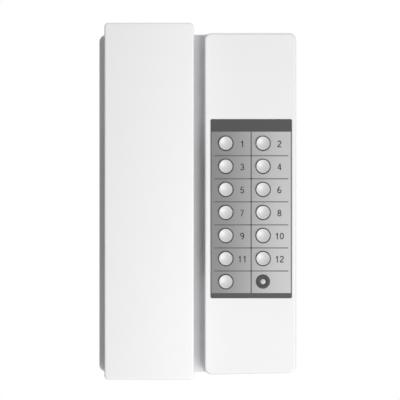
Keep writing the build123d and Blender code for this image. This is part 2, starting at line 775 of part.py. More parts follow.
def key_cap(x, y):
    """One key: a round cap, bevelled, with a side wing each way that keeps it in the console."""
    cap = bevel(disc(x, y, KEY_RADIUS, KEY_BOTTOM, CONSOLE_FACE + KEY_STAND), KEY_EDGE, -1)
    span = 2 * (KEY_RADIUS + KEY_WING)
    return cap + block(x, y, span, KEY_WING_WIDTH, WING_FOOT, WING_TOP)


def keypad_mat():
    """The silicone sheet on the main board, with a square tapered dome under each key."""
    web = BOARD_FACE + MAT_WEB
    (left, head), (right, foot) = KEY_PLACES[0], LAMP_PLACE
    margin = MAT_DOME_WIDTH + 2 * MAT_MARGIN
    sheet = block(
        (left + right) / 2,
        (head + foot) / 2,
        right - left + margin,
        head - foot + margin,
        BOARD_FACE,
        web,
    )
    dome = extrude(Rectangle(MAT_DOME_WIDTH, MAT_DOME_WIDTH), MAT_DOME, taper=MAT_DOME_TAPER)
    lamp_width = 2 * (LENS_RADIUS + MAT_WEB)
    lamp_hole = block(*LAMP_PLACE, lamp_width, lamp_width, BOARD_FACE - OVERRUN, web + OVERRUN)
    return sheet + [Pos(x, y, web) * dome for x, y in KEY_PLACES] - lamp_hole


def lamp_ring():
    """The black ring round the lamp, with the sleeve that fixes it in the console."""
    x, y = LAMP_PLACE
    seat = CONSOLE_FACE - LABEL_RECESS + LABEL_THICKNESS
    bore = LENS_RADIUS + SEAT_GAP / 2
    sleeve = LENS_RADIUS + RING_SLEEVE
    ring = tube(x, y, RING_RADIUS, bore, seat, seat + RING_HEIGHT)
    return ring + tube(x, y, sleeve, bore, CONSOLE_CEILING, seat + RING_HEIGHT)


def in_use_lamp():
    """The lamp: a bevelled lens on a flange, with two legs down to the main board."""
    x, y = LAMP_PLACE
    top = CONSOLE_FACE + LENS_STAND
    base = top - LENS_LENGTH
    lens = bevel(disc(x, y, LENS_RADIUS, base, top), LENS_EDGE, -1)
    lens += disc(x, y, LENS_RADIUS + LENS_FLANGE, base, base + LENS_FLANGE_HEIGHT)
    legs = [
        block(x + side * LEG_SPACING / 2, y, LEG_WIDTH, LEG_WIDTH, BOARD_FACE, base + LEG_WIDTH)
        for side in (-1, 1)
    ]
    return lens + legs


def main_board():
    """The circuit board behind the keypad."""
    return block(
        BOARD_X, LABEL_Y, BOARD_WIDTH, BOARD_LENGTH, BOARD_BACK, BOARD_FACE, BOARD_CORNER
    )


def board_spot(across_share, along_share):
    """A place on the main board, as shares of its width and length from its centre."""
    return BOARD_X + across_share * BOARD_WIDTH, LABEL_Y + along_share * BOARD_LENGTH


def audio_transformer():
    """The line transformer on the board's back: a laminated core round a rounded bobbin."""
    x, y = board_spot(*TRANSFORMER_SHARES)
    low = BOARD_BACK - TRANSFORMER_HEIGHT
    core = block(x, y, TRANSFORMER_WIDTH, TRANSFORMER_LENGTH * BOBBIN_SHARE, low, BOARD_BACK)
    bobbin = block(
        x,
        y,
        TRANSFORMER_WIDTH * BOBBIN_SHARE,
        TRANSFORMER_LENGTH + BOBBIN_BULGE,
        low + BOBBIN_BULGE,
        BOARD_BACK - BOBBIN_BULGE,
        BOBBIN_BULGE,
    )
    return core + bobbin


def relay():
    """The switching relay's box on the board's back."""
    x, y = board_spot(*RELAY_SHARES)
    box = block(x, y, RELAY_WIDTH, RELAY_LENGTH, BOARD_BACK - RELAY_HEIGHT, BOARD_BACK)
    return bevel(box, RELAY_EDGE, 0)


def capacitors():
    """A row of upright can capacitors on the board's back."""
    x, y = board_spot(*CAPACITOR_SHARES)
    middle = (CAPACITOR_COUNT - 1) / 2
    low = BOARD_BACK - CAPACITOR_HEIGHT
    return [
        disc(x + (i - middle) * CAPACITOR_PITCH, y, CAPACITOR_RADIUS, low, BOARD_BACK)
        for i in range(CAPACITOR_COUNT)
    ]


def terminal_board():
    """The small board that carries the wiring terminals."""
    return block(
        TERMINAL_X, TERMINAL_Y, TERMINAL_BOARD_WIDTH, TERMINAL_BOARD_LENGTH,
        TERMINAL_BACK, TERMINAL_FACE, BOARD_CORNER,
    )


def terminal_rows():
    """The middle line of each terminal block, and which way its wire ports look."""
    offset = (TERMINAL_BLOCK_WIDTH + TERMINAL_BLOCK_GAP) / 2
    return [(TERMINAL_Y + side * offset, side) for side in (-1, 1)]


def terminal_xs():
    """The middle of each way along a terminal block."""
    middle = (TERMINAL_WAYS - 1) / 2
    return [TERMINAL_X + (i - middle) * TERMINAL_PITCH for i in range(TERMINAL_WAYS)]


def terminal_blocks():
    """Two rows of screw terminals: stepped bars with a screw well and wire port for each way."""
    low = TERMINAL_BACK - TERMINAL_BLOCK_HEIGHT
    blocks = []
    for y, side in terminal_rows():
        bar = block(TERMINAL_X, y, TERMINAL_ROW, TERMINAL_BLOCK_WIDTH, low, TERMINAL_BACK)
        edge = bar.edges().filter_by(Axis.X).group_by(Axis.Z)[0].sort_by(Axis.Y)[side_index(side)]
        bar = chamfer(edge, TERMINAL_EDGE)
        screw_wells = [
            block(x, y, TERMINAL_WELL, TERMINAL_WELL, low - OVERRUN, low + TERMINAL_PORT)
            for x in terminal_xs()
        ]
        port_low = low + TERMINAL_EDGE + TERMINAL_PORT
        ports = [
            block(
                x, y + side * TERMINAL_BLOCK_WIDTH / 2, TERMINAL_PORT, 2 * TERMINAL_PORT,
                port_low, port_low + TERMINAL_PORT,
            )
            for x in terminal_xs()
        ]
        blocks.append(bar - screw_wells - ports)
    return blocks


def side_index(side):
    """The list index of the outer edge on a side."""
    return -1 if side > 0 else 0


def board_link():
    """The pin header that stands between the terminal board and the main board."""
    x = TERMINAL_X + LINK_X_SHARE * TERMINAL_BOARD_WIDTH / 2
    y = TERMINAL_Y
    length = LINK_PINS * LINK_PITCH
    bar = block(x, y, LINK_WIDTH, length, TERMINAL_FACE, TERMINAL_FACE + LINK_WIDTH)
    socket = block(x, y, LINK_WIDTH, length, BOARD_BACK - LINK_WIDTH, BOARD_BACK)
    middle = (LINK_PINS - 1) / 2
    pins = [
        block(
            x, y + (i - middle) * LINK_PITCH, LEG_WIDTH, LEG_WIDTH,
            TERMINAL_FACE + LINK_WIDTH / 2, BOARD_BACK - LINK_WIDTH / 2,
        )
        for i in range(LINK_PINS)
    ]
    return bar + socket + pins


def call_speaker():
    """The call speaker: a flanged frame, a stepped basket and a round magnet."""
    flange = CRADLE_CEILING - SPEAKER_FLANGE
    basket = flange - SPEAKER_BASKET_DEPTH
    return turned(
        HANDSET_X,
        0,
        [
            (0, CRADLE_CEILING),
            (SPEAKER_RADIUS, CRADLE_CEILING),
            (SPEAKER_RADIUS, flange),
            (SPEAKER_BASKET_RADIUS, flange),
            (SPEAKER_BASKET_RADIUS, basket),
            (MAGNET_RADIUS, basket),
            (MAGNET_RADIUS, SPEAKER_BACK),
            (0, SPEAKER_BACK),
        ],
    )


def hook_plunger():
    """The plunger that the handset holds down: tip, flange with a switch arm, spring stem."""
    pin = turned(
        PLUNGER_X,
        LANDING_Y,
        [
            (0, PLUNGER_TIP),
            (PLUNGER_RADIUS - PLUNGER_TIP_EDGE, PLUNGER_TIP),
            (PLUNGER_RADIUS, PLUNGER_TIP - PLUNGER_TIP_EDGE),
            (PLUNGER_RADIUS, FLANGE_TOP),
            (PLUNGER_RADIUS + PLUNGER_FLANGE, FLANGE_TOP),
            (PLUNGER_RADIUS + PLUNGER_FLANGE, FLANGE_FOOT),
            (PLUNGER_STEM_RADIUS, FLANGE_FOOT),
            (PLUNGER_STEM_RADIUS, FLANGE_FOOT - PLUNGER_STEM),
            (0, FLANGE_FOOT - PLUNGER_STEM),
        ],
    )
    arm = block(
        PLUNGER_X + PLUNGER_ARM / 2, LANDING_Y, PLUNGER_ARM, PLUNGER_ARM_WIDTH,
        FLANGE_FOOT, FLANGE_TOP,
    )
    return pin + arm


def hook_spring():
    """The sleeve of space that the plunger's spring fills when the handset is down."""
    inner = SPRING_RADIUS - SPRING_WIRE
    return tube(PLUNGER_X, LANDING_Y, SPRING_RADIUS, inner, RECESS_FLOOR, FLANGE_FOOT)


def hook_switch():
    """The small switch under the plunger's arm."""
    top = FLANGE_FOOT - SEAT_GAP
    body = block(
        SWITCH_X, LANDING_Y, SWITCH_LENGTH, SWITCH_WIDTH, RECESS_FLOOR, top - SWITCH_BUTTON
    )
    button = block(
        SWITCH_X - PLUNGER_RADIUS, LANDING_Y, SWITCH_BUTTON_LENGTH, SWITCH_BUTTON_LENGTH,
        top - 2 * SWITCH_BUTTON, top,
    )
    return body + button


def cord_jack(x, wall_y, low):
    """A small modular socket whose mouth looks down out of an end wall."""
    face = wall_y + JACK_INSET
    body = block(x, face + JACK_DEPTH / 2, JACK_WIDTH, JACK_DEPTH, low, low + JACK_HEIGHT)
    mouth_low = low + (JACK_HEIGHT - JACK_MOUTH_HEIGHT) / 2
    mouth_high = mouth_low + JACK_MOUTH_HEIGHT
    mouth = block(
        x, face + (JACK_MOUTH_DEPTH - OVERRUN) / 2, JACK_MOUTH_WIDTH, JACK_MOUTH_DEPTH + OVERRUN,
        mouth_low, mouth_high,
    )
    latch = block(
        x, face + (JACK_MOUTH_DEPTH - OVERRUN) / 2, JACK_LATCH_WIDTH, JACK_MOUTH_DEPTH + OVERRUN,
        mouth_low - JACK_LATCH_HEIGHT, mouth_high,
    )
    return body - mouth - latch


def base_jack():
    """The cord jack in the base's foot."""
    return cord_jack(JACK_X, COVER_FOOT + REAR_INSET, REAR_FLOOR)


def handset_jack():
    """The cord jack in the handset's heel."""
    return cord_jack(HANDSET_X, HANDSET_BOTTOM, HANDSET_BOARD_FACE)


def handset_side():
    """The rear shell seen from the side: an arched grip between two deep end blocks."""
    ear, mouth = BLOCK_INNER, -BLOCK_INNER
    corners = {
        (HANDSET_TOP, HANDSET_SEAM): 0,
        (HANDSET_TOP, BLOCK_BACK): HEEL_RADIUS,
        (ear, BLOCK_BACK): ARCH_LIP,
        (ear - ARCH_RUN, GRIP_BACK): ARCH_RADIUS,
        (mouth + ARCH_RUN, GRIP_BACK): ARCH_RADIUS,
        (mouth, BLOCK_BACK): ARCH_LIP,
        (HANDSET_BOTTOM, BLOCK_BACK): HEEL_RADIUS,
        (HANDSET_BOTTOM, HANDSET_SEAM): 0,
    }
    face = make_face(Polyline(*corners, close=True))
    for corner, radius in corners.items():
        if radius:
            face = fillet(face.vertices().sort_by_distance(corner)[0], radius)
    return face


def across_handset(section, width):
    """A side section carried across the handset's width."""
    return Pos(HANDSET_X, 0, 0) * extrude(Plane.YZ * section, width / 2, both=True)


def cup(side, radius, low, high):
    """A round cup's bar under the ear (side 1) or mouth (side -1) end."""
    return disc(HANDSET_X, side * CUP_Y, radius, low, high)


def sound_holes(side, ring, count):
    """A middle hole and a ring of holes through a cup's face."""
    places = [(HANDSET_X, side * CUP_Y)]
    for i in range(count):
        turn = FULL_TURN * i / count
        places.append((HANDSET_X + ring * cos(turn), side * CUP_Y + ring * sin(turn)))
    low, high = CUP_END - OVERRUN, CUP_FLOOR + OVERRUN
    return [disc(x, y, SOUND_HOLE_RADIUS, low, high) for x, y in places]


def handset_rear_shell():
    """Grip, end blocks, ear and mouth cups and the pocket for the hanger lug, all one shell."""
    section = handset_side()
    body = across_handset(section, HANDSET_WIDTH)
    half = HANDSET_WIDTH / 2
    long_edges = body.edges().filter_by(
        lambda e: abs(abs(e.center().X - HANDSET_X) - half) < NEAR
        and e.center().Z < HANDSET_SEAM - NEAR
    )
    body = fillet(long_edges, HANDSET_CORNER)
    for side in (-1, 1):
        body += bevel(cup(side, CUP_RADIUS, CUP_END, BLOCK_FLOOR), CUP_EDGE, 0)

    hollow = across_handset(
        offset(section, -HANDSET_WALL, kind=Kind.INTERSECTION), HANDSET_WIDTH - 2 * HANDSET_WALL
    )
    mouth_of_shell = block(
        HANDSET_X,
        (HANDSET_TOP + HANDSET_BOTTOM) / 2,
        HANDSET_WIDTH - 2 * HANDSET_WALL,
        HANDSET_TOP - HANDSET_BOTTOM - 2 * HANDSET_WALL,
        HANDSET_SEAM - HANDSET_WALL - OVERRUN,
        HANDSET_SEAM + OVERRUN,
    )
    body = body - hollow - mouth_of_shell
    for side in (-1, 1):
        body -= cup(side, CUP_RADIUS - HANDSET_WALL, CUP_FLOOR, BLOCK_FLOOR + OVERRUN)

    pocket_top = CRADLE_FACE + LUG_HEIGHT + POCKET_GAP
    pocket_y = LANDING_Y + LUG_NOSE / 2
    pocket_length = LUG_THICKNESS + LUG_NOSE + 2 * POCKET_GAP
    pocket_width = LUG_WIDTH + 2 * POCKET_GAP
    boot_bore = MICROPHONE_RADIUS + BOOT_WALL + SLIDE_GAP
    solids = [
        block(
            LUG_X, pocket_y, pocket_width + 2 * POCKET_WALL, pocket_length + 2 * POCKET_WALL,
            BLOCK_BACK, pocket_top + POCKET_WALL,
        ),
        tube(
            HANDSET_X, -CUP_Y, boot_bore + BOOT_RIB_WALL, boot_bore,
            CUP_FLOOR, CUP_FLOOR + BOOT_RIB_HEIGHT,
        ),
    ]
    solids += [
        disc(x, y, PILLAR_RADIUS, BLOCK_BACK, HANDSET_PILLAR_TOP) for x, y in HANDSET_SCREW_PLACES
    ]
    solids += [
        block(x, y, POST_WIDTH, POST_WIDTH, BLOCK_BACK, HANDSET_BOARD_BACK)
        for x, y in handset_post_places()
    ]
    solids += weight_ribs()
    cuts = [
        block(
            LUG_X, pocket_y, pocket_width, pocket_length, BLOCK_BACK - OVERRUN, pocket_top
        ),
        jack_port(HANDSET_X, HANDSET_BOTTOM, HANDSET_BOARD_FACE),
        cup(1, CUP_DISH_RADIUS, CUP_END - OVERRUN, CUP_END + CUP_DISH_DEPTH),
        cup(-1, CUP_DISH_RADIUS, CUP_END - OVERRUN, CUP_END + CUP_DISH_DEPTH),
        *sound_holes(1, EAR_HOLE_RING, EAR_HOLES),
        *sound_holes(-1, MOUTH_HOLE_RING, MOUTH_HOLES),
    ]
    bore = SCREW_HEAD_RADIUS + HEAD_GAP
    for x, y in HANDSET_SCREW_PLACES:
        cuts.append(disc(x, y, bore, BLOCK_BACK - OVERRUN, BLOCK_BACK + HANDSET_COUNTERBORE))
        passage = SCREW_RADIUS + SCREW_PASS_GAP
        cuts.append(disc(x, y, passage, BLOCK_BACK, HANDSET_PILLAR_TOP + OVERRUN))
    return body + solids - cuts


def weight_ribs():
    """Two ribs across the grip's inside that the iron weight sits between."""
    low = GRIP_BACK + HANDSET_WALL / 2
    high = GRIP_BACK + HANDSET_WALL + WEIGHT_RIB_HEIGHT
    offset_y = WEIGHT_LENGTH / 2 + FIT_GAP + WEIGHT_RIB / 2
    return [
        block(HANDSET_X, side * offset_y, WEIGHT_WIDTH, WEIGHT_RIB, low, high)
        for side in (-1, 1)
    ]


def handset_board_place():
    """The centre of the handset board and half the span of its posts."""
    width = 2 * (HANDSET_SCREW_X - PILLAR_RADIUS - OVERRUN)
    y = HANDSET_BOTTOM + HANDSET_WALL + PILLAR_RADIUS + HANDSET_BOARD_LENGTH / 2
    return y, width


def handset_post_places():
    """The four posts under the handset board."""
    y, width = handset_board_place()
    return corner_places(
        HANDSET_X, y, (width - POST_WIDTH) / 2, (HANDSET_BOARD_LENGTH - POST_WIDTH) / 2
    )


def crowned_bar(low, high):
    """A bar as long and wide as the handset, whose front is a shallow arc across its width."""
    side, length = HANDSET_WIDTH / 2, HANDSET_TOP - HANDSET_BOTTOM
    edge = high - HANDSET_CROWN
    walls = Polyline((-side, edge), (-side, low), (side, low), (side, edge))
    front = ThreePointArc((side, edge), (0, high), (-side, edge))
    section = Plane.XZ * make_face(walls + front)
    y = (HANDSET_TOP + HANDSET_BOTTOM) / 2
    return Pos(HANDSET_X, y, 0) * extrude(section, length / 2, both=True)


def handset_front_shell():
    """The slab that shows: a crowned tray with softened edges and long screw bosses inside."""
    y = (HANDSET_TOP + HANDSET_BOTTOM) / 2
    length = HANDSET_TOP - HANDSET_BOTTOM
    outside = crowned_bar(HANDSET_SEAM, HANDSET_FACE)
    outside = fillet(outside.edges().filter_by(Axis.Z), HANDSET_CORNER)
    front = outside.faces().sort_by(Axis.Z)[-1]
    outside = fillet(front.edges(), HANDSET_FRONT_EDGE)
    ceiling = HANDSET_FACE - HANDSET_WALL
    inside = crowned_bar(HANDSET_SEAM - OVERRUN, ceiling) & block(
        HANDSET_X,
        y,
        HANDSET_WIDTH - 2 * HANDSET_WALL,
        length - 2 * HANDSET_WALL,
        HANDSET_SEAM - OVERRUN,
        ceiling,
        HANDSET_INNER_CORNER,
    )
    bosses = [
        disc(x, y, BOSS_RADIUS, HANDSET_PILLAR_TOP, ceiling) for x, y in HANDSET_SCREW_PLACES
    ]
    top = HANDSET_PILLAR_TOP
    pilots = [
        disc(x, y, SCREW_RADIUS + SLIDE_GAP, top - OVERRUN, top + SCREW_GRIP)
        for x, y in HANDSET_SCREW_PLACES
    ]
    return outside - inside + bosses - pilots


def handset_screws():
    """The four screws from the end blocks up into the front shell's bosses."""
    seat = BLOCK_BACK + HANDSET_COUNTERBORE
    shank = HANDSET_PILLAR_TOP - seat + SCREW_GRIP - OVERRUN
    return [screw(x, y, seat, shank, 1) for x, y in HANDSET_SCREW_PLACES]


def receiver_pad():
    """The foam ring between the ear cup's holes and the receiver."""
    return tube(
        HANDSET_X, CUP_Y, PAD_RADIUS, PAD_HOLE_RADIUS, CUP_FLOOR, CUP_FLOOR + PAD_THICKNESS
    )


def receiver_capsule():
    """The receiver: a flat round can with its magnet standing behind it."""
    low = CUP_FLOOR + PAD_THICKNESS
    radius = CUP_RADIUS - HANDSET_WALL - SEAT_GAP
    can = disc(HANDSET_X, CUP_Y, radius, low, low + RECEIVER_HEIGHT)
    top = low + RECEIVER_HEIGHT + RECEIVER_MAGNET_HEIGHT
    return can + disc(HANDSET_X, CUP_Y, RECEIVER_MAGNET_RADIUS, low, top)


def microphone_boot():
    """The rubber cup round the microphone, open at its back and holed at its face."""
    body = disc(HANDSET_X, -CUP_Y, MICROPHONE_RADIUS + BOOT_WALL, CUP_FLOOR, BOOT_TOP)
    bore = disc(
        HANDSET_X, -CUP_Y, MICROPHONE_RADIUS + SLIDE_GAP, CUP_FLOOR + BOOT_FLOOR, BOOT_TOP + OVERRUN
    )
    return body - bore - disc(HANDSET_X, -CUP_Y, BOOT_HOLE_RADIUS, CUP_FLOOR - OVERRUN, BOOT_TOP)


def microphone_capsule():
    """The microphone's small can."""
    return disc(HANDSET_X, -CUP_Y, MICROPHONE_RADIUS, CUP_FLOOR + BOOT_FLOOR, BOOT_TOP)


def handset_weight():
    """The cast-iron bar that gives the handset its heft, lying in the grip."""
    low = GRIP_BACK + HANDSET_WALL
    return block(HANDSET_X, 0, WEIGHT_WIDTH, WEIGHT_LENGTH, low, low + WEIGHT_THICKNESS)


def handset_board():
    """The small board behind the microphone that the handset's jack stands on."""
    y, width = handset_board_place()
    return block(
        HANDSET_X, y, width, HANDSET_BOARD_LENGTH, HANDSET_BOARD_BACK, HANDSET_BOARD_FACE,
        BOARD_CORNER,
    )


def wall_pose(shape):
    """Stand a piece up: its length along +Z, its front along -Y."""
    return Rot(QUARTER_TURN, 0, 0) * shape


def write_part(name, shape):
    """Write one piece, or a group of like pieces, in its place on the wall."""
    if isinstance(shape, list):
        posed = Compound(children=[wall_pose(piece) for piece in shape])
    else:
        posed = wall_pose(shape)
    export_step(posed, f"parts/{name}.step")


PIECES = {
    "wall_bracket": wall_bracket,
    "rear_cover": rear_cover,
    "front_cover": front_cover,
    "case_screws": case_screws,
    "keypad_label": keypad_label,
    "keypad_mat": keypad_mat,
    "lamp_ring": lamp_ring,
    "in_use_lamp": in_use_lamp,
    "main_board": main_board,
    "audio_transformer": audio_transformer,
    "relay": relay,
    "capacitors": capacitors,
    "terminal_board": terminal_board,
    "terminal_blocks": terminal_blocks,
    "board_link": board_link,
    "call_speaker": call_speaker,
    "hook_plunger": hook_plunger,
    "hook_spring": hook_spring,
    "hook_switch": hook_switch,
    "base_jack": base_jack,
    "handset_front_shell": handset_front_shell,
    "handset_rear_shell": handset_rear_shell,
    "handset_screws": handset_screws,
    "handset_board": handset_board,
    "handset_jack": handset_jack,
    "handset_weight": handset_weight,
    "receiver_pad": receiver_pad,
    "receiver_capsule": receiver_capsule,
    "microphone_boot": microphone_boot,
    "microphone_capsule": microphone_capsule,
}

os.makedirs("parts", exist_ok=True)
for piece, make in PIECES.items():
    write_part(piece, make())
for number, (key_x, key_y) in enumerate(KEY_PLACES, start=1):
    name = "key_page" if number == len(KEY_PLACES) else f"key_{number:02d}"
    write_part(name, key_cap(key_x, key_y))
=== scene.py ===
"""The looks of an audio intercom handset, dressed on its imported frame.

Lengths are in metres in the frame's own axes: +X to the viewer's right, +Z up the wall and the
front towards -Y. A depth is a distance out from the wall, so a depth d stands at y = -d.
"""

from __future__ import annotations

import json
import logging
from dataclasses import dataclass, replace
from enum import Enum
from math import pi

import bpy
import numpy as np
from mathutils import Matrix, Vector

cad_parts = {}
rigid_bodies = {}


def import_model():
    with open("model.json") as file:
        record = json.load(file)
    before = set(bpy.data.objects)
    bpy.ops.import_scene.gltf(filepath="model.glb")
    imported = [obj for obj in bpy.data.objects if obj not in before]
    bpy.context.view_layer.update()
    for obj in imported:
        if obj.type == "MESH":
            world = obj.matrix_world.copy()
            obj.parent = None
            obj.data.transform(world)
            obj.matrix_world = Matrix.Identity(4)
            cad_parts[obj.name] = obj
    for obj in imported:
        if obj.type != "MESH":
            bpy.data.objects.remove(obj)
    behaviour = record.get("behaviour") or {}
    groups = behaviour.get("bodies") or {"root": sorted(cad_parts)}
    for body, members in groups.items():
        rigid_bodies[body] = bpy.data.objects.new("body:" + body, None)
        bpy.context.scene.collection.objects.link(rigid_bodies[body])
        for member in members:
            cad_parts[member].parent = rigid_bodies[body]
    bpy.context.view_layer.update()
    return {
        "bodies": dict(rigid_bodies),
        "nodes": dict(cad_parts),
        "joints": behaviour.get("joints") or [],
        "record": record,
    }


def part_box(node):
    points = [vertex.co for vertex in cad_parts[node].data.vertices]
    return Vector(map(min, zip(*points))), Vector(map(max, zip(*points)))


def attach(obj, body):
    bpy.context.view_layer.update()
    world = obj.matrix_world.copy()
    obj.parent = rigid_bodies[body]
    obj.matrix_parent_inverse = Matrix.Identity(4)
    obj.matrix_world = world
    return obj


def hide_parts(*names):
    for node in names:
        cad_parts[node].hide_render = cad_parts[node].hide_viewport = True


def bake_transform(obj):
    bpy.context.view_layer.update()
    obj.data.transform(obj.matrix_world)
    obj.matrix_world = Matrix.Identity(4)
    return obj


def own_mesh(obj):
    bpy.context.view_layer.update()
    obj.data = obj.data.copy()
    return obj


LOG = logging.getLogger("intercom")
MM = 0.001
MIX_FACTOR, MIX_A, MIX_B, MIX_COLOUR = 0, 6, 7, 2
COAT_ROUGHNESS = 0.12
GLOSS_SPREAD = 0.03
GLOSS_FINER = 1.7
GLOSS_DETAIL = 4.0
CLOUD_DETAIL, CLOUD_HARSHNESS = 3.0, 0.6
# Nearly all values of a noise lie between these two.
NOISE_LOW, NOISE_HIGH = 0.3, 0.7
CORNER_PARTS, ARC_POINTS = 8, 15
WELD = 0.001 * MM
# The angles in degrees past which an edge stays sharp.
SHARP, SHARP_IF_WELDED, SHARP_IF_THIN = 35.0, 28.0, 60.0

# A mesh is its points and its faces, and a place is an x and a z.
Mesh = tuple[np.ndarray, list[list[int]]]
Place = tuple[float, float]
Colour = tuple[float, float, float, float]
Tree, Node, Socket = bpy.types.NodeTree, bpy.types.Node, bpy.types.NodeSocket


class Facing(Enum):
    """Which way a turned piece's crown looks: out to the viewer or back to the wall."""

    VIEWER = 1
    WALL = -1


class Recess(Enum):
    """The driver's recess in a screw's head."""

    CROSS = "cross"
    SLOT = "slot"


def linear(code: str, keep: float = 1.0) -> Colour:
    """Turn an sRGB hex colour into linear values.

    Args:
        code: the colour as a hash and six hex digits.
        keep: the share of its light that is kept.

    Returns:
        Linear red, green and blue, and an alpha of one.
    """
    parts = np.array([int(code[i : i + 2], 16) for i in (1, 3, 5)]) / 255
    values = np.where(parts <= 0.04045, parts / 12.92, ((parts + 0.055) / 1.055) ** 2.4)
    red, green, blue = (values * keep).tolist()
    return red, green, blue, 1.0


def add_node(
    tree: Tree, kind: str, inputs: dict[int | str, object] | None = None, **settings: object
) -> Node:
    """Add a node with its settings, and fill or link its inputs.

    Args:
        tree: the node tree that gets the node.
        kind: the node's type name after ShaderNode.
        inputs: a value or an output socket for each input, by name or index.
        **settings: attributes of the node.

    Returns:
        The new node.
    """
    node = tree.nodes.new("ShaderNode" + kind)
    for name, value in settings.items():
        setattr(node, name, value)
    for key, value in (inputs or {}).items():
        if isinstance(value, Socket):
            tree.links.new(value, node.inputs[key])
        else:
            node.inputs[key].default_value = value
    return node


def noise(tree: Tree, where: Socket, scale: float, detail: float, harsh: float = 0.5) -> Socket:
    """Add a noise and give its value at each place."""
    inputs = {"Vector": where, "Scale": scale, "Detail": detail, "Roughness": harsh}
    return add_node(tree, "TexNoise", inputs).outputs["Fac"]


@dataclass(frozen=True)
class Finish:
    """A finish: colour and gloss, with a grain and a faint cloud of tone on the surface.

    The grain is a bump of noise whose cells are grain_mm across. The colour shifts between its
    own shade and one that is darker by the share cloud, over patches cloud_mm across.
    """

    name: str
    colour: str
    roughness: float
    metallic: float = 0.0
    grain_mm: float = 0.9
    grain_depth_mm: float = 0.01
    grain_detail: float = 2.0
    grain_harshness: float = 0.55
    stretch: float = 1.0
    cloud: float = 0.03
    cloud_mm: float = 30.0
    coat: float = 0.0

    def material(self) -> bpy.types.Material:
        """Make the finish's material once, and give it again when asked again.

        Returns:
            The material.
        """
        known = bpy.data.materials.get(self.name)
        if known is not None:
            return known
        made = bpy.data.materials.new(self.name)
        made.use_nodes = True
        tree = made.node_tree
        tree.nodes.clear()
        where = add_node(tree, "TexCoord").outputs["Object"]
        shader = add_node(tree, "BsdfPrincipled", self.plain() | self.patterned(tree, where))
        add_node(tree, "OutputMaterial", {"Surface": shader.outputs["BSDF"]})
        made.diffuse_color = linear(self.colour)
        return made

    def plain(self) -> dict[str, object]:
        """Give the shader's values that are the same all over the surface."""
        coat = {"Coat Weight": self.coat, "Coat Roughness": COAT_ROUGHNESS}
        return {"Metallic": self.metallic} | coat

    def shades(self) -> tuple[Colour, Colour]:
        """Give the two colours that the surface shifts between."""
        return linear(self.colour), linear(self.colour, 1 - self.cloud)

    def pattern(self, tree: Tree, where: Socket) -> Socket:
        """Give the share of the second colour at each place, here as soft patches of noise."""
        return noise(tree, where, 1 / (self.cloud_mm * MM), CLOUD_DETAIL, CLOUD_HARSHNESS)

    def patterned(self, tree: Tree, where: Socket) -> dict[str, Socket]:
        """Give the shader's values that change over the surface.

        The colour shifts between its two shades as the pattern says, and the gloss is a little
        uneven, as on handled things. The grain is a bump, stretched along the height.

        Args:
            tree: the material's node tree.
            where: the place on the object.

        Returns:
            The sockets of colour, roughness and normal.
        """
        first, second = self.shades()
        inputs = {MIX_FACTOR: self.pattern(tree, where), MIX_A: first, MIX_B: second}
        colour = add_node(tree, "Mix", inputs, data_type="RGBA").outputs[MIX_COLOUR]

        value = noise(tree, where, GLOSS_FINER / (self.cloud_mm * MM), GLOSS_DETAIL)
        low, high = self.roughness - GLOSS_SPREAD, self.roughness + GLOSS_SPREAD
        span = {"From Min": NOISE_LOW, "From Max": NOISE_HIGH, "To Min": low, "To Max": high}
        gloss = add_node(tree, "MapRange", {"Value": value} | span).outputs["Result"]

        if self.stretch != 1:
            inputs = {"Vector": where, "Scale": (1.0, 1.0, 1 / self.stretch)}
            where = add_node(tree, "Mapping", inputs).outputs["Vector"]
        scale = 1 / (self.grain_mm * MM)
        height = noise(tree, where, scale, self.grain_detail, self.grain_harshness)
        inputs = {"Height": height, "Distance": self.grain_depth_mm * MM, "Strength": 1.0}
        bump = add_node(tree, "Bump", inputs).outputs["Normal"]
        return {"Base Color": colour, "Roughness": gloss, "Normal": bump}


@dataclass(frozen=True)
class BrushedFilm(Finish):
    """Printed film with fine upright brushing: the grain is drawn out along the height."""

    grain_detail: float = 3.0
    grain_harshness: float = 0.5
    stretch: float = 14.0


@dataclass(frozen=True)
class GradedFilm(BrushedFilm):
    """Silver film whose tint is painted paler from one long edge to the other: a painted sheen, as
    of the light at the right.
    """

    pale: str = "#adadae"
    left_mm: float = 8.4
    right_mm: float = 58.4

    def shades(self) -> tuple[Colour, Colour]:
        """Give the tint at the left edge and the paler one of the painted sheen at the right."""
        return linear(self.colour), linear(self.pale)

    def pattern(self, tree: Tree, where: Socket) -> Socket:
        """Give the share of the pale tint of the painted sheen, which grows smoothly across the
        label.

        Args:
            tree: the material's node tree.
            where: the place on the object.

        Returns:
            The share's socket.
        """
        # Painted sheen: the colour grows paler from left to right, where the light stands.
        across = add_node(tree, "SeparateXYZ", {"Vector": where}).outputs["X"]
        inputs = {"Value": across, "From Min": self.left_mm * MM, "From Max": self.right_mm * MM}
        share = add_node(tree, "MapRange", inputs, interpolation_type="SMOOTHSTEP")
        return share.outputs["Result"]


@dataclass(frozen=True)
class Galvanised(Finish):
    """Zinc-dipped sheet: crystals a few millimetres across, each with its own shade."""

    cloud: float = 0.28
    spangle_mm: float = 4.0

    def pattern(self, tree: Tree, where: Socket) -> Socket:
        """Give each crystal its own share of the darker shade."""
        cells = add_node(tree, "TexVoronoi", {"Vector": where, "Scale": 1 / (self.spangle_mm * MM)})
        return add_node(tree, "SeparateColor", {"Color": cells.outputs["Color"]}).outputs["Red"]


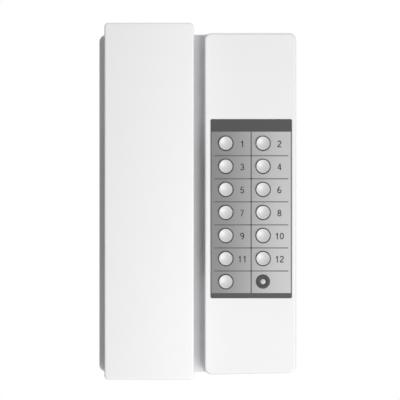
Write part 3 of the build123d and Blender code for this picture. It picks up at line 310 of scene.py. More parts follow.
@dataclass(frozen=True)
class SolderMask(Finish):
    """Green lacquer over copper tracks: the tracks are lighter bands in a square weave."""

    cloud: float = 0.45
    track_mm: float = 2.5
    looseness: float = 0.35
    gap_end: float = 0.42
    track_start: float = 0.5

    def pattern(self, tree: Tree, where: Socket) -> Socket:
        """Give the share of the darker green, which is none over the copper tracks.

        Args:
            tree: the material's node tree.
            where: the place on the object.

        Returns:
            The share's socket.
        """
        weave = {"Scale": 1 / (self.track_mm * MM), "Randomness": self.looseness}
        tracks = add_node(tree, "TexVoronoi", {"Vector": where} | weave, distance="MANHATTAN")
        ends = {"From Min": self.gap_end, "From Max": self.track_start}
        inputs = {"Value": tracks.outputs["Distance"], "To Min": 1.0, "To Max": 0.0} | ends
        return add_node(tree, "MapRange", inputs).outputs["Result"]


@dataclass(frozen=True)
class MilkyLens(Finish):
    """Cast clear resin, frosted inside: light passes and spreads in it."""

    passing: float = 0.1
    spreading: float = 0.6
    spread_mm: float = 0.5

    def plain(self) -> dict[str, object]:
        """Let some light through and spread it evenly under the skin.

        Returns:
            The shader's values by input name.
        """
        spread = {"Subsurface Radius": (1.0, 1.0, 1.0), "Subsurface Scale": self.spread_mm * MM}
        weights = {"Transmission Weight": self.passing, "Subsurface Weight": self.spreading}
        return super().plain() | weights | spread


# Moulded ABS, spark-eroded tool: a soft satin with a grain that only just shows. The real grain
# is 0.1 mm across, too fine for the render, so it is drawn at 1.1 mm.
COVER_ABS = Finish("cover_abs", "#dfdfe0", 0.5, grain_mm=1.1, grain_depth_mm=0.006, cloud=0.02)
# The same ABS, rubbed by hands: a slightly paler and smoother satin.
HANDSET_ABS = replace(COVER_ABS, name="handset_abs", colour="#e2e2e3", roughness=0.46)
# The same ABS from a plainer tool: duller and greyer, for the side towards the wall.
REAR_ABS = Finish("rear_abs", "#d4d4d5", 0.55)
# Key caps from a coarse-etched mould: the mottling of the etch shows from a step away.
KEY_ABS = Finish(
    "key_abs", "#cacac9", 0.32, grain_mm=1.0, grain_depth_mm=0.03, cloud=0.05, cloud_mm=1.2
)
# Silver-backed polycarbonate film, its face finely brushed upright: satin, with a metal's depth.
# The real brushing is 0.1 mm wide and is drawn at 0.5 mm, so that it shows.
# Its tint is painted paler towards the right edge: a painted sheen of the light from the right.
LABEL_FILM = GradedFilm(
    "label_film", "#7c7c7d", 0.4, metallic=0.35, grain_mm=0.5, grain_depth_mm=0.0015, cloud_mm=18.0
)
# Screen ink laid thick on the brushed film: a dark satin in which the brushing just shows.
BAND_INK = BrushedFilm(
    "band_ink", "#3d3d3f", 0.45, grain_mm=0.5, grain_depth_mm=0.002, cloud_mm=18.0
)
# The same ink laid thin: the silver lifts it, and a line is painted paler towards the right, the
# same painted sheen as on the film under it.
LINE_INK = GradedFilm("line_ink", "#525254", 0.45, grain_depth_mm=0.0015, pale="#666668")
# Screen ink in the strokes of a figure: an even dark grey.
NUMBER_INK = Finish("number_ink", "#3a3a3c", 0.45, grain_mm=0.6, grain_depth_mm=0.002)
# Black ABS from a matt mould: an even dark grey, with only a broad soft sheen on its slope.
RING_ABS = Finish("ring_abs", "#38383a", 0.6, grain_mm=1.2, grain_depth_mm=0.004)
# Cast resin, milky inside: a pale bead that glows a little and has a soft highlight.
LENS_RESIN = MilkyLens("lens_resin", "#cacac7", 0.35, grain_mm=0.8, grain_depth_mm=0.004)
# Moulded nylon: a near-black satin, so that the mouth reads as deep.
JACK_NYLON = Finish("jack_nylon", "#222224", 0.42, grain_mm=0.7)
# Gold flash over spring bronze, drawn wire: warm bright lines in the dark mouth.
CONTACT_GOLD = Finish(
    "contact_gold", "#d8b25c", 0.24, metallic=1.0, grain_mm=0.4, grain_depth_mm=0.002
)
# Zinc plating, passivated: bright but slightly clouded.
PLATED_SCREW = Finish(
    "plated_screw", "#b9b9b4", 0.32, metallic=1.0, grain_mm=0.5, grain_depth_mm=0.004, cloud=0.2
)
# Sheet steel dipped in zinc: a grey patchwork of crystals 4 mm across.
GALVANISED_SHEET = Galvanised("galvanised_sheet", "#b4b8bb", 0.42, metallic=1.0, grain_mm=2.0)
# Drawn spring steel: a clean wire with sharp highlights.
SPRING_WIRE = Finish(
    "spring_wire", "#a8a8a6", 0.28, metallic=1.0, grain_mm=0.3, grain_depth_mm=0.002
)
# Glass epoxy under green lacquer: glossy, with the tracks paler than the gaps between them.
BOARD_MASK = SolderMask("board_mask", "#2f7a45", 0.3, grain_mm=0.6, coat=0.4)
# Stacked core steel, bare: dull grey with darker rubbed patches.
CORE_STEEL = Finish(
    "core_steel", "#707072", 0.5, metallic=1.0, grain_mm=0.4, grain_depth_mm=0.03, cloud=0.3
)
# Moulded polyester: a flat deep blue.
RELAY_CASE = Finish("relay_case", "#23406f", 0.35)
# Shrunk PVC sleeve: dark blue, with a film's gloss.
CAPACITOR_SLEEVE = Finish("capacitor_sleeve", "#2a2f4a", 0.3, coat=0.3)
# Moulded nylon in the terminals' usual green: a plain satin.
TERMINAL_NYLON = Finish("terminal_nylon", "#3f8a55", 0.42, grain_mm=0.7)
# Glass-filled nylon: a plain black.
CONNECTOR_NYLON = Finish("connector_nylon", "#1f1f20", 0.45)
# Pressed steel under thin black enamel: dark, with a little of the metal's sheen.
SPEAKER_FRAME = Finish("speaker_frame", "#2b2b2d", 0.4, metallic=0.3)
# Turned acetal: a slippery off-white.
PLUNGER_ACETAL = Finish("plunger_acetal", "#e9e9e6", 0.38)
# Moulded silicone: a soft dull grey.
SILICONE = Finish("silicone", "#c9c9c6", 0.6)
# Sand-cast iron: a dark skin, coarse from the sand.
CAST_IRON = Finish(
    "cast_iron", "#4b4b4d", 0.6, metallic=1.0, grain_mm=0.8, grain_depth_mm=0.08, cloud=0.3
)
# Open-cell polyurethane foam: matt black, pitted by its cells.
FOAM = Finish("foam", "#1c1c1d", 0.95, grain_mm=0.7, grain_depth_mm=0.4)
# Drawn aluminium: a satin silver.
CAPSULE_CAN = Finish("capsule_can", "#a9abad", 0.34, metallic=1.0, grain_mm=0.5)
# Moulded rubber: dull black.
BOOT_RUBBER = Finish("boot_rubber", "#1b1b1c", 0.7, grain_mm=0.6, grain_depth_mm=0.02)
# Flat wall paint: a plain pale floor without gloss.
FLOOR_PAINT = Finish("floor_paint", "#d8d8d8", 0.8, grain_mm=3.0)


def skin(rings: np.ndarray, hoop: bool = False) -> Mesh:
    """Join closed rings into one closed surface.

    Each face takes two neighbours of one ring and the same two of the next, in the order that
    makes its normal look outwards. A flat face covers each end, or a hoop's last ring joins its
    first.

    Args:
        rings: points by ring and by place round it, from the back to the crown. A hoop's go up
            the outside, over and down the inside.
        hoop: whether the last ring joins the first.

    Returns:
        The mesh.
    """
    count, around = rings.shape[:2]
    index = np.arange(count * around).reshape(count, around)
    ahead = np.roll(index, -1, axis=1)
    after = [np.roll(ahead, -1, axis=0), np.roll(index, -1, axis=0)]
    quads = np.stack([index, ahead, *after], axis=-1)
    points = rings.reshape(-1, 3)
    if hoop:
        return points, quads.reshape(-1, 4).tolist()
    ends = [index[-1].tolist(), index[0][::-1].tolist()]
    return points, quads[:-1].reshape(-1, 4).tolist() + ends


def turned(
    profile: np.ndarray, centre: Place, around: int = 64, facing: Facing = Facing.VIEWER
) -> np.ndarray:
    """Turn a profile about an axis that runs out of the wall.

    A point of radius r at angle a goes to x + r cos a, z + r sin a, at its own depth.

    Args:
        profile: rows of radius and depth, ending at the crown.
        centre: the axis's x and z.
        around: how many points each ring has.
        facing: where the crown looks.

    Returns:
        The rings.
    """
    angle = facing.value * np.linspace(0, 2 * pi, around, endpoint=False)
    radius, depth = profile[:, :1], profile[:, 1:]
    across = centre[0] + radius * np.cos(angle)
    up = centre[1] + radius * np.sin(angle)
    return np.stack([across, -depth + 0 * across, up], axis=-1)


def outline(width: float, length: float, corner: float, per_end: int = 1) -> np.ndarray:
    """Work out a rounded rectangle about the origin, anticlockwise from its lower right corner.

    Each corner is a quarter circle about its own centre, and the two short runs between corners
    are divided evenly.

    Args:
        width: the size along x.
        length: the size along z.
        corner: the corners' radius.
        per_end: how many parts each short run has.

    Returns:
        Rows of x and z.
    """
    turn = np.linspace(0, pi / 2, CORNER_PARTS + 1)
    runs = []
    for quarter, (side, end) in enumerate([(1, -1), (1, 1), (-1, 1), (-1, -1)]):
        angle = turn + (quarter - 1) * pi / 2
        x = side * (width / 2 - corner) + corner * np.cos(angle)
        z = end * (length / 2 - corner) + corner * np.sin(angle)
        runs.append(np.stack([x, z], axis=-1))
        if quarter in (1, 3) and per_end > 1:
            share = np.linspace(0, 1, per_end + 1)[1:-1]
            reach = (width / 2 - corner) * side
            run_x = reach * (1 - 2 * share)
            run_z = np.full_like(run_x, end * length / 2)
            runs.append(np.stack([run_x, run_z], axis=-1))
    return np.concatenate(runs)


def oblong(centre: Place, width: float, length: float) -> np.ndarray:
    """Work out an upright oblong about a place, anticlockwise from its lower right corner."""
    return np.array([(1, -1), (1, 1), (-1, 1), (-1, -1)]) * (width / 2, length / 2) + centre


def stood(places: list[tuple[np.ndarray, float]]) -> np.ndarray:
    """Stand flat outlines at their depths: one ring for each pair of outline and depth."""
    return np.stack([np.insert(flat, 1, -depth, axis=1) for flat, depth in places])


def plate(flat: np.ndarray, low: float, high: float) -> Mesh:
    """Give a flat outline, anticlockwise to the viewer, its thickness between two depths."""
    return skin(stood([(flat, low), (flat, high)]))


def merged(parts: list[Mesh]) -> Mesh:
    """Put several meshes into one, each with its own points.

    Args:
        parts: the meshes.

    Returns:
        The mesh.
    """
    points = np.concatenate([p for p, _ in parts])
    starts = np.cumsum([0] + [len(p) for p, _ in parts])
    faces = [[i + at for i in face] for at, (_, shape) in zip(starts, parts) for face in shape]
    return points, faces


def middle(node: str) -> Place:
    """Give the x and z of a node's middle."""
    low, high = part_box(node)
    return (low.x + high.x) / 2, (low.z + high.z) / 2


def placed(name: str, data: bpy.types.ID) -> bpy.types.Object:
    """Put data into the scene as an object at the origin.

    Args:
        name: the object's name.
        data: what it shows.

    Returns:
        The new object.
    """
    made = bpy.data.objects.new(name, data)
    bpy.context.scene.collection.objects.link(made)
    return made


def piece(
    name: str, shape: Mesh, finish: Finish, body: str | None, sharp: float = SHARP
) -> bpy.types.Object:
    """Make a piece of the object from a mesh, dressed and riding on its body.

    Args:
        name: the piece's name.
        shape: its points and faces.
        finish: what it is dressed in.
        body: the frame's body that carries it, or None where it stretches between two.
        sharp: the angle in degrees past which an edge stays sharp.

    Returns:
        The new object.
    """
    points, faces = shape
    mesh = bpy.data.meshes.new(name)
    mesh.from_pydata(points.tolist(), [], faces)
    mesh.update()
    mesh.shade_smooth()
    mesh.set_sharp_from_angle(angle=np.radians(sharp))
    mesh.materials.append(finish.material())
    made = placed(name, mesh)
    if body:
        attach(made, body)
    LOG.info("made %s with %d faces", name, len(faces))
    return made


@dataclass
class Assembly:
    """A sub-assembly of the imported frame."""

    frame: dict

    def keys(self) -> list[str]:
        """Give the names of the keys' nodes."""
        return [node for node in self.frame["nodes"] if node.startswith("key_")]

    def dress(self, finishes: dict[str, Finish]) -> None:
        """Give nodes of the frame their finishes.

        Args:
            finishes: the finish of each node.
        """
        for node, finish in finishes.items():
            mesh = self.frame["nodes"][node].data
            mesh.materials.clear()
            mesh.materials.append(finish.material())
            LOG.info("dressed %s in %s", node, finish.name)

    def smooth(self, node: str, finish: Finish, body: str, slot: str) -> None:
        """Stand a welded copy of a node in its place, so that its rounded edges shade smoothly.

        Args:
            node: the node's name.
            finish: what the copy is dressed in.
            body: the body that carries it.
            slot: the record's slot; not used.
        """
        source = self.frame["nodes"][node].data
        points = np.empty(len(source.vertices) * 3)
        source.vertices.foreach_get("co", points)
        points = points.reshape(-1, 3)
        corners = np.empty(len(source.loops), dtype=np.int64)
        source.loops.foreach_get("vertex_index", corners)
        steps = np.round(points / WELD).astype(np.int64)
        _, first, shared = np.unique(steps, axis=0, return_index=True, return_inverse=True)
        faces = shared.reshape(-1)[corners].reshape(-1, 3)
        a, b, c = faces.T
        whole = (a != b) & (b != c) & (c != a)
        shape = (points[first], faces[whole].tolist())
        made = piece(f"{node}_skin", shape, finish, body, SHARP_IF_WELDED)
        even = made.modifiers.new("even_normals", "WEIGHTED_NORMAL")
        even.keep_sharp = True
        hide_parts(node)


@dataclass(frozen=True)
class SoftLamp:
    """A soft oblong lamp that looks at the object."""

    name: str
    place: tuple[float, float, float]
    size: Place
    power: float

    def hang(self) -> None:
        """Hang the lamp at its place and turn it to the object."""
        data = bpy.data.lights.new(self.name, "AREA")
        data.shape = "RECTANGLE"
        data.size, data.size_y = self.size
        data.energy = self.power
        holder = placed(self.name, data)
        holder.location = self.place
        aim = -holder.location
        holder.rotation_mode = "QUATERNION"
        holder.rotation_quaternion = aim.to_track_quat("-Z", "Y")


@dataclass
class Studio:
    """The camera, the pale floor, soft light from the right and weaker ones above and behind."""

    camera_x: float = 1.7 * MM
    camera_z: float = 2.05 * MM
    face_depth: float = 58 * MM
    distance: float = 1.4
    lens: float = 203.2
    clip: Place = (0.05, 20.0)
    floor_drop: float = 1.3
    floor_size: float = 3.0
    ambient: float = 0.37
    lamps: tuple[SoftLamp, ...] = (
        SoftLamp("key_lamp", (0.7, -1.4, -0.46), (1.05, 1.2), 25.3),
        SoftLamp("back_lamp", (0.1, 1.5, 0.3), (1.6, 1.6), 12.0),
        SoftLamp("top_lamp", (0.1, 0.5, 1.6), (1.2, 1.2), 14.0),
    )

    def camera(self) -> None:
        """Stand the camera square in front of the handset."""
        data = bpy.data.cameras.new("camera")
        data.lens = self.lens
        data.clip_start, data.clip_end = self.clip
        holder = placed("camera", data)
        holder.location = (self.camera_x, -self.face_depth - self.distance, self.camera_z)
        holder.rotation_euler = (pi / 2, 0, 0)
        bpy.context.scene.camera = holder

    def world(self) -> None:
        """Make the world white to the eye and through clear pieces, and plain soft grey light."""
        world = bpy.data.worlds.new("world")
        bpy.context.scene.world = world
        world.use_nodes = True
        tree = world.node_tree
        tree.nodes.clear()
        path = add_node(tree, "LightPath").outputs
        rays = {0: path["Is Camera Ray"], 1: path["Is Transmission Ray"]}
        seen = add_node(tree, "Math", rays, operation="MAXIMUM")
        grey, white = (
            add_node(tree, "Background", {"Color": (1, 1, 1, 1), "Strength": strength})
            for strength in (self.ambient, 1.0)
        )
        shares = {0: seen.outputs[0], 1: grey.outputs[0], 2: white.outputs[0]}
        mixed = add_node(tree, "MixShader", shares)
        add_node(tree, "OutputWorld", {"Surface": mixed.outputs[0]})

    def floor(self) -> None:
        """Lay a plain pale floor well below the object."""
        mesh = bpy.data.meshes.new("floor")
        corners = oblong((0.0, 0.0), self.floor_size, self.floor_size)
        mesh.from_pydata([(x, y, -self.floor_drop) for x, y in corners], [], [(0, 1, 2, 3)])
        mesh.materials.append(FLOOR_PAINT.material())
        placed("floor", mesh)

    def build(self) -> None:
        """Set up the whole studio."""
        self.camera()
        self.world()
        self.floor()
        for lamp in self.lamps:
            lamp.hang()
        bpy.context.scene.view_settings.view_transform = "Standard"


@dataclass(frozen=True)
class Screw:
    """A plated screw whose head looks back to the wall and has a driver's recess.

    Its seat is the depth of the head's underside, from which the shank reaches by its length.
    """

    seat: float = 0.0
    length: float = 0.0
    recess: Recess = Recess.CROSS
    head_radius: float = 2.7 * MM
    head_height: float = 1.9 * MM
    dome: float = 0.6 * MM
    shank_radius: float = 1.4 * MM
    recess_depth: float = 0.9 * MM
    arm_share: float = 0.22
    reach_share: float = 0.62
    thread_pitch: float = 1.1 * MM
    thread_share: float = 0.09
    tip_share: float = 0.35
    tip_steepness: float = 6.0
    crown_rings: int = 26
    crown_eye: float = 0.02
    head_around: int = 72
    shank_rings: int = 61
    shank_around: int = 32

    def head(self, centre: Place) -> Mesh:
        """Work out the head, with its recess sunk in a domed crown.

        The crown is a polar grid. Its height falls from the middle as the square of the radius,
        less the recess's depth where the point lies inside the recess's arms. A slot's arm runs
        right across the head.

        Args:
            centre: the head's x and z.

        Returns:
            The mesh.
        """
        crown = np.linspace(1.0, self.crown_eye, self.crown_rings)
        radius = np.concatenate([[1.0], crown]) * self.head_radius
        profile = np.stack([radius, np.full_like(radius, self.seat)], axis=-1)
        rings = turned(profile, centre, self.head_around, Facing.WALL)
        across = np.abs(rings[..., 0] - centre[0]) / self.head_radius
        up = np.abs(rings[..., 2] - centre[1]) / self.head_radius
        sunk = up < self.arm_share
        if self.recess is Recess.CROSS:
            sunk &= across < self.reach_share
            sunk |= (across < self.arm_share) & (up < self.reach_share)
        height = self.head_height - self.dome * (across**2 + up**2)
        height = np.where(sunk, self.head_height - self.recess_depth, height)
        height[0] = 0.0
        rings[..., 1] = height - self.seat
        return skin(rings)

    def shank(self, centre: Place) -> Mesh:
        """Work out the threaded shank: a bar whose radius waves along its length.

        Each wave is one pitch long. Towards its tip the bar narrows along a straight line.

        Args:
            centre: the screw's x and z.

        Returns:
            The mesh.
        """
        share = np.linspace(1, 0, self.shank_rings)
        wave = np.cos(share * self.length / self.thread_pitch * 2 * pi)
        thread = 1 - self.thread_share * (1 + wave) / 2
        taper = np.minimum(1.0, (1 - share) * self.tip_steepness + self.tip_share)
        radius = self.shank_radius * thread * taper
        profile = np.stack([radius, self.seat + share * self.length], axis=-1)
        return skin(turned(profile, centre, self.shank_around, Facing.WALL))

    def driven(self, places: list[Place]) -> Mesh:
        """Work out a whole screw at each of several places."""
        return merged([part(place) for place in places for part in (self.head, self.shank)])


@dataclass
class Covers(Assembly):
    """The wall bracket and the two covers, with the screws that hold them together."""

    screw_x: float = 55.3 * MM
    screw_z: float = 98.0 * MM
    screw: Screw = Screw(seat=4.3 * MM, length=12.6 * MM)

    def build(self) -> None:
        """Dress the covers and the bracket, and drive the case screws."""
        self.smooth("front_cover", COVER_ABS, "base", "cover_plastic")
        self.smooth("rear_cover", REAR_ABS, "base", "rear_plastic")
        self.dress({"wall_bracket": GALVANISED_SHEET})
        across, up = (-self.screw_x, self.screw_x), (-self.screw_z, self.screw_z)
        screws = self.screw.driven([(x, z) for x in across for z in up])
        made = piece("case_screw_set", screws, PLATED_SCREW, "base")
        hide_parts("case_screws")


def arc(centre: Place, radius: Place, start: float, end: float) -> np.ndarray:
    """Work out points on part of an ellipse, with its angles in degrees from the right."""
    angle = np.radians(np.linspace(start, end, ARC_POINTS))
    return np.stack([np.cos(angle), np.sin(angle)], axis=-1) * radius + centre


@dataclass
class FigurePen:
    """Draws upright sans figures as strokes of one width, between the depths low and high.

    A figure stands on the line in a cell one unit high and less than a unit wide.
    """

    low: float
    high: float
    height: float
    weight: float = 0.17
    advance: float = 0.74
    cell: float = 0.6

    def strokes(self, figure: str) -> list[np.ndarray]:
        """Give the middle lines of a figure's strokes. The 9 is the 6 turned upside down.

        Args:
            figure: one digit.

        Returns:
            An array of points for each stroke.
        """
        bowl, stem = arc((0.3, 0.3), (0.24, 0.24), 0, 360), arc((0.34, 0.34), (0.28, 0.6), 75, 185)
        neck = np.concatenate(
            [arc((0.3, 0.69), (0.23, 0.25), 170, -25), [(0.12, 0.22), (0.06, 0.06)]]
        )
        turn = np.array((self.cell, 1.0))
        forms = {
            "0": [arc((0.3, 0.5), (0.24, 0.44), 0, 360)],
            "1": [[(0.14, 0.72), (0.27, 0.78), (0.36, 0.94)], [(0.36, 1.0), (0.36, 0.0)]],
            "2": [neck, [(0.02, 0.06), (0.56, 0.06)]],
            "3": [
                arc((0.29, 0.72), (0.21, 0.22), 165, -90),
                arc((0.29, 0.28), (0.24, 0.22), 90, -165),
            ],
            "4": [[(0.42, 1.0), (0.42, 0.0)], [(0.4, 0.96), (0.05, 0.27), (0.58, 0.27)]],
            "5": [
                [(0.52, 0.94), (0.14, 0.94), (0.09, 0.48)],
                arc((0.28, 0.32), (0.25, 0.26), 140, -155),
            ],
            "6": [bowl, stem],
            "7": [[(0.04, 0.94), (0.54, 0.94), (0.3, 0.5), (0.2, 0.0)]],
            "8": [arc((0.3, 0.73), (0.2, 0.21), 0, 360), arc((0.3, 0.28), (0.24, 0.22), 0, 360)],
            "9": [turn - bowl, turn - stem],
        }
        return [np.asarray(line) for line in forms[figure]]

    def ribbon(self, line: np.ndarray, origin: Place) -> Mesh:
        """Give a stroke its width and thickness.

        Each point moves half the stroke's width to both sides, square to the way between its
        two neighbours.

        Args:
            line: the stroke's middle line in units of the figure's height.
            origin: where the cell's own origin stands.

        Returns:
            The mesh.
        """
        way = np.gradient(line, axis=0)
        way /= np.linalg.norm(way, axis=1, keepdims=True)
        side = np.stack([-way[:, 1], way[:, 0]], axis=-1) * self.weight / 2
        left, right = ((line + shift) * self.height + origin for shift in (side, -side))
        low, high = self.low, self.high
        walls = stood([(right, low), (right, high), (left, high), (left, low)])
        return skin(walls.swapaxes(0, 1)[:, ::-1])

    def number(self, figures: str, centre: Place) -> list[Mesh]:
        """Draw a number about a place.

        Args:
            figures: its digits.
            centre: the middle's x and z.

        Returns:
            A mesh for each stroke.
        """
        width = ((len(figures) - 1) * self.advance + self.cell) * self.height
        foot = centre[1] - self.height / 2
        parts = []
        for i, figure in enumerate(figures):
            origin = (centre[0] - width / 2 + i * self.advance * self.height, foot)
            parts += [self.ribbon(line, origin) for line in self.strokes(figure)]
        return parts


@dataclass
class Keypad(Assembly):
    """The printed label and its round dished keys."""

    band_head: float = 7.9 * MM
    band_foot: float = 3.2 * MM
    side_margin: float = 2.2 * MM
    cell_height: float = 14.5 * MM
    rows: int = 7
    corner: float = 1.0 * MM
    ink: float = 0.03 * MM
    line: float = 0.7 * MM
    line_drop: float = 0.6 * MM
    middle_line: float = 0.85 * MM
    numbered: int = 12
    number_offset: float = 10.35 * MM
    number_drop: float = 0.4 * MM
    number_height: float = 4.1 * MM
    key_edge: float = 0.2 * MM
    key_dish: float = 1.0 * MM
    key_gap: float = 0.52 * MM
    # The painted shadow round each key: its greatest width, and the way its outer edge is moved.
    crescent_width: float = 0.2 * MM
    crescent_way: Place = (0.7, -0.7)
    wing_foot: float = 2.2 * MM
    wing_top: float = 3.4 * MM
    wing_height: float = 3.0 * MM
    rim_rings: int = 7
    dish_rings: int = 16
    dish_eye: float = 0.01
    around: int = 72

    def label(self) -> None:
        """Dress the label, print its bands and lines, and lay a painted shadow round each key."""
        self.dress({"keypad_label": LABEL_FILM})
        low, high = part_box("keypad_label")
        foot, head = low.z + self.band_foot, high.z - self.band_head
        bands = [self.band(head, high.z), self.band(foot, low.z)]
        self.print_patches("label_bands", bands, BAND_INK)
        width, centre, level = high.x - low.x, (low.x + high.x) / 2, (head + foot) / 2
        strips = [oblong((centre, level), self.middle_line, head - foot)]
        for row in range(1, self.rows):
            place = (centre, head - row * self.cell_height - self.line_drop)
            strips.append(oblong(place, width - 2 * self.side_margin, self.line))
        for x in (low.x + self.line / 2, high.x - self.line / 2):
            strips.append(oblong((x, level), self.line, head - foot))
        self.print_patches("label_lines", [self.printed(flat) for flat in strips], LINE_INK)
        # A painted shadow of each key, laid in the thin ink at the lower right of its opening.
        key_shadows = [self.crescent(node) for node in self.keys()]
        self.print_patches("label_crescents", key_shadows, LINE_INK)

    def print_patches(self, name: str, patches: list[Mesh], finish: Finish) -> None:
        """Lay patches of ink on the label as one piece."""
        piece(name, merged(patches), finish, "base")

    def face(self) -> float:
        """Give the depth of the label's face."""
        return -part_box("keypad_label")[0].y

    def printed(self, flat: np.ndarray) -> Mesh:
        """Lay the outline of a patch of ink on the label's face."""
        return plate(flat, self.face(), self.face() + self.ink)

    def crescent(self, node: str) -> Mesh:
        """Work out the dark crescent laid round a key's opening, widest at its lower right: a
        painted shadow of the key.

        The inner circle lies just outside the opening. The outer one is larger by the shadow's
        width, and its centre is moved by as much to the right and down.

        Args:
            node: the key's node.

        Returns:
            The mesh.
        """
        low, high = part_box(node)
        centre, face, top = np.array(middle(node)), self.face(), self.face() + self.ink
        inner = (high.z - low.z) / 2 + self.key_gap
        angle = np.linspace(0, 2 * pi, self.around, endpoint=False)
        circle = np.stack([np.cos(angle), np.sin(angle)], axis=-1)
        shift = self.crescent_width * np.array(self.crescent_way)
        near, far = centre + inner * circle, centre + shift + (inner + self.crescent_width) * circle
        return skin(stood([(far, face), (far, top), (near, top), (near, face)]), hoop=True)

    def band(self, inner: float, outer: float) -> Mesh:
        """Work out a dark band whose two outer corners follow the label's own.

        Args:
            inner: the z of its inner edge, whose corners stay square.
            outer: the z of its edge at the label's end.

        Returns:
            The mesh.
        """
        low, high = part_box("keypad_label")
        centre = (low.x + high.x) / 2
        flat = outline(high.x - low.x, abs(outer - inner), self.corner)
        flat += (centre, (inner + outer) / 2)
        near = np.abs(flat[:, 1] - inner) <= self.corner + WELD
        flat[near, 0] = np.where(flat[near, 0] > centre, high.x, low.x)
        return self.printed(flat)

    def numbers(self) -> None:
        """Print a plain number at the right of each numbered key."""
        pen = FigurePen(self.face(), self.face() + self.ink, self.number_height)
        parts = []
        for count in range(1, self.numbered + 1):
            x, z = middle(f"key_{count:02d}")
            parts += pen.number(str(count), (x + self.number_offset, z - self.number_drop))
        piece("label_numbers", merged(parts), NUMBER_INK, "base", SHARP_IF_THIN)

    def key(self, node: str) -> None:
        """Make one key: a round cap with a softened rim and a shallow dish, on its side wings.

        The rim is a quarter circle between wall and crown. Inside it the crown falls to the
        middle as one less the square of the radius, the hollow of a shallow dish.

        Args:
            node: the key's node, which the cap replaces.
        """
        low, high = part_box(node)
        centre = middle(node)
        back, crown, outer = -high.y, -low.y, (high.z - low.z) / 2
        turn = np.linspace(0, pi / 2, self.rim_rings)
        rim_radius = outer - self.key_edge * (1 - np.cos(turn))
        rim_depth = crown - self.key_edge * (1 - np.sin(turn))
        share = np.linspace(1, self.dish_eye, self.dish_rings)[1:]
        dish = crown - self.key_dish * (1 - share**2)
        radius = np.concatenate([[outer], rim_radius, (outer - self.key_edge) * share])
        depth = np.concatenate([[back], rim_depth, dish])
        cap = skin(turned(np.stack([radius, depth], axis=-1), centre, self.around))
        flat = oblong(centre, high.x - low.x, self.wing_height)
        wing = plate(flat, back + self.wing_foot, back + self.wing_top)
        made = piece(f"{node}_cap", merged([cap, wing]), KEY_ABS, node)
        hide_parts(node)

    def build(self) -> None:
        """Print the label and make the keys."""
        self.label()
        self.numbers()
        for node in self.keys():
            self.key(node)


@dataclass
class KeyMat(Assembly):
    """The silicone mat: a sheet with a hole for the lamp, and a dome under each key."""

    corner: float = 2.0 * MM
    hole: float = 2.75 * MM
    dome_foot: float = 4.3 * MM
    dome_height: float = 1.8 * MM
    dome_gap: float = 0.3 * MM
    dome_spare: float = 0.1 * MM
    key_travel: float = 1.2 * MM
    per_end: int = 12
    around: int = 48
    dome_radii: tuple[float, ...] = (1, 0.96, 0.8, 0.75, 0.62, 0.58, 0.54)
    dome_rises: tuple[float, ...] = (0, 0.06, 0.76, 0.86, 0.9, 0.97, 1)

    def sheet(self) -> None:
        """Make the sheet, with its hole for the lamp.

        Each point of the hole lies on the straight line from the lamp's centre to its fellow on
        the sheet's outline.
        """
        low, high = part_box("keypad_mat")
        back, web = -high.y, -low.y - self.dome_height
        edge = outline(high.x - low.x, high.z - low.z, self.corner, self.per_end)
        edge += middle("keypad_mat")
        ray = edge - middle("in_use_lamp")
        hole = ray * self.hole / np.linalg.norm(ray, axis=1, keepdims=True) + middle("in_use_lamp")
        rings = stood([(edge, back), (edge, web), (hole, web), (hole, back)])
        sheet = piece("keypad_mat_sheet", skin(rings, hoop=True), SILICONE, "base")
        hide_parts("keypad_mat")

    def dome(self, node: str) -> None:
        """Make a key's dome, turned from a slanted skirt that ends in a round pad.

        Args:
            node: the key's node.
        """
        web = -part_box("keypad_mat")[0].y - self.dome_height
        share = np.stack([self.dome_radii, self.dome_rises], axis=-1)
        profile = share * (self.dome_foot, self.dome_height) + (0, web)
        centre = middle(node)
        rings = turned(profile, centre, self.around)
        dome = piece(f"{node}_dome", skin(rings), SILICONE, "base")
        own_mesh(dome)

    def build(self) -> None:
        """Make the whole mat."""
        self.sheet()
        for node in self.keys():
            self.dome(node)


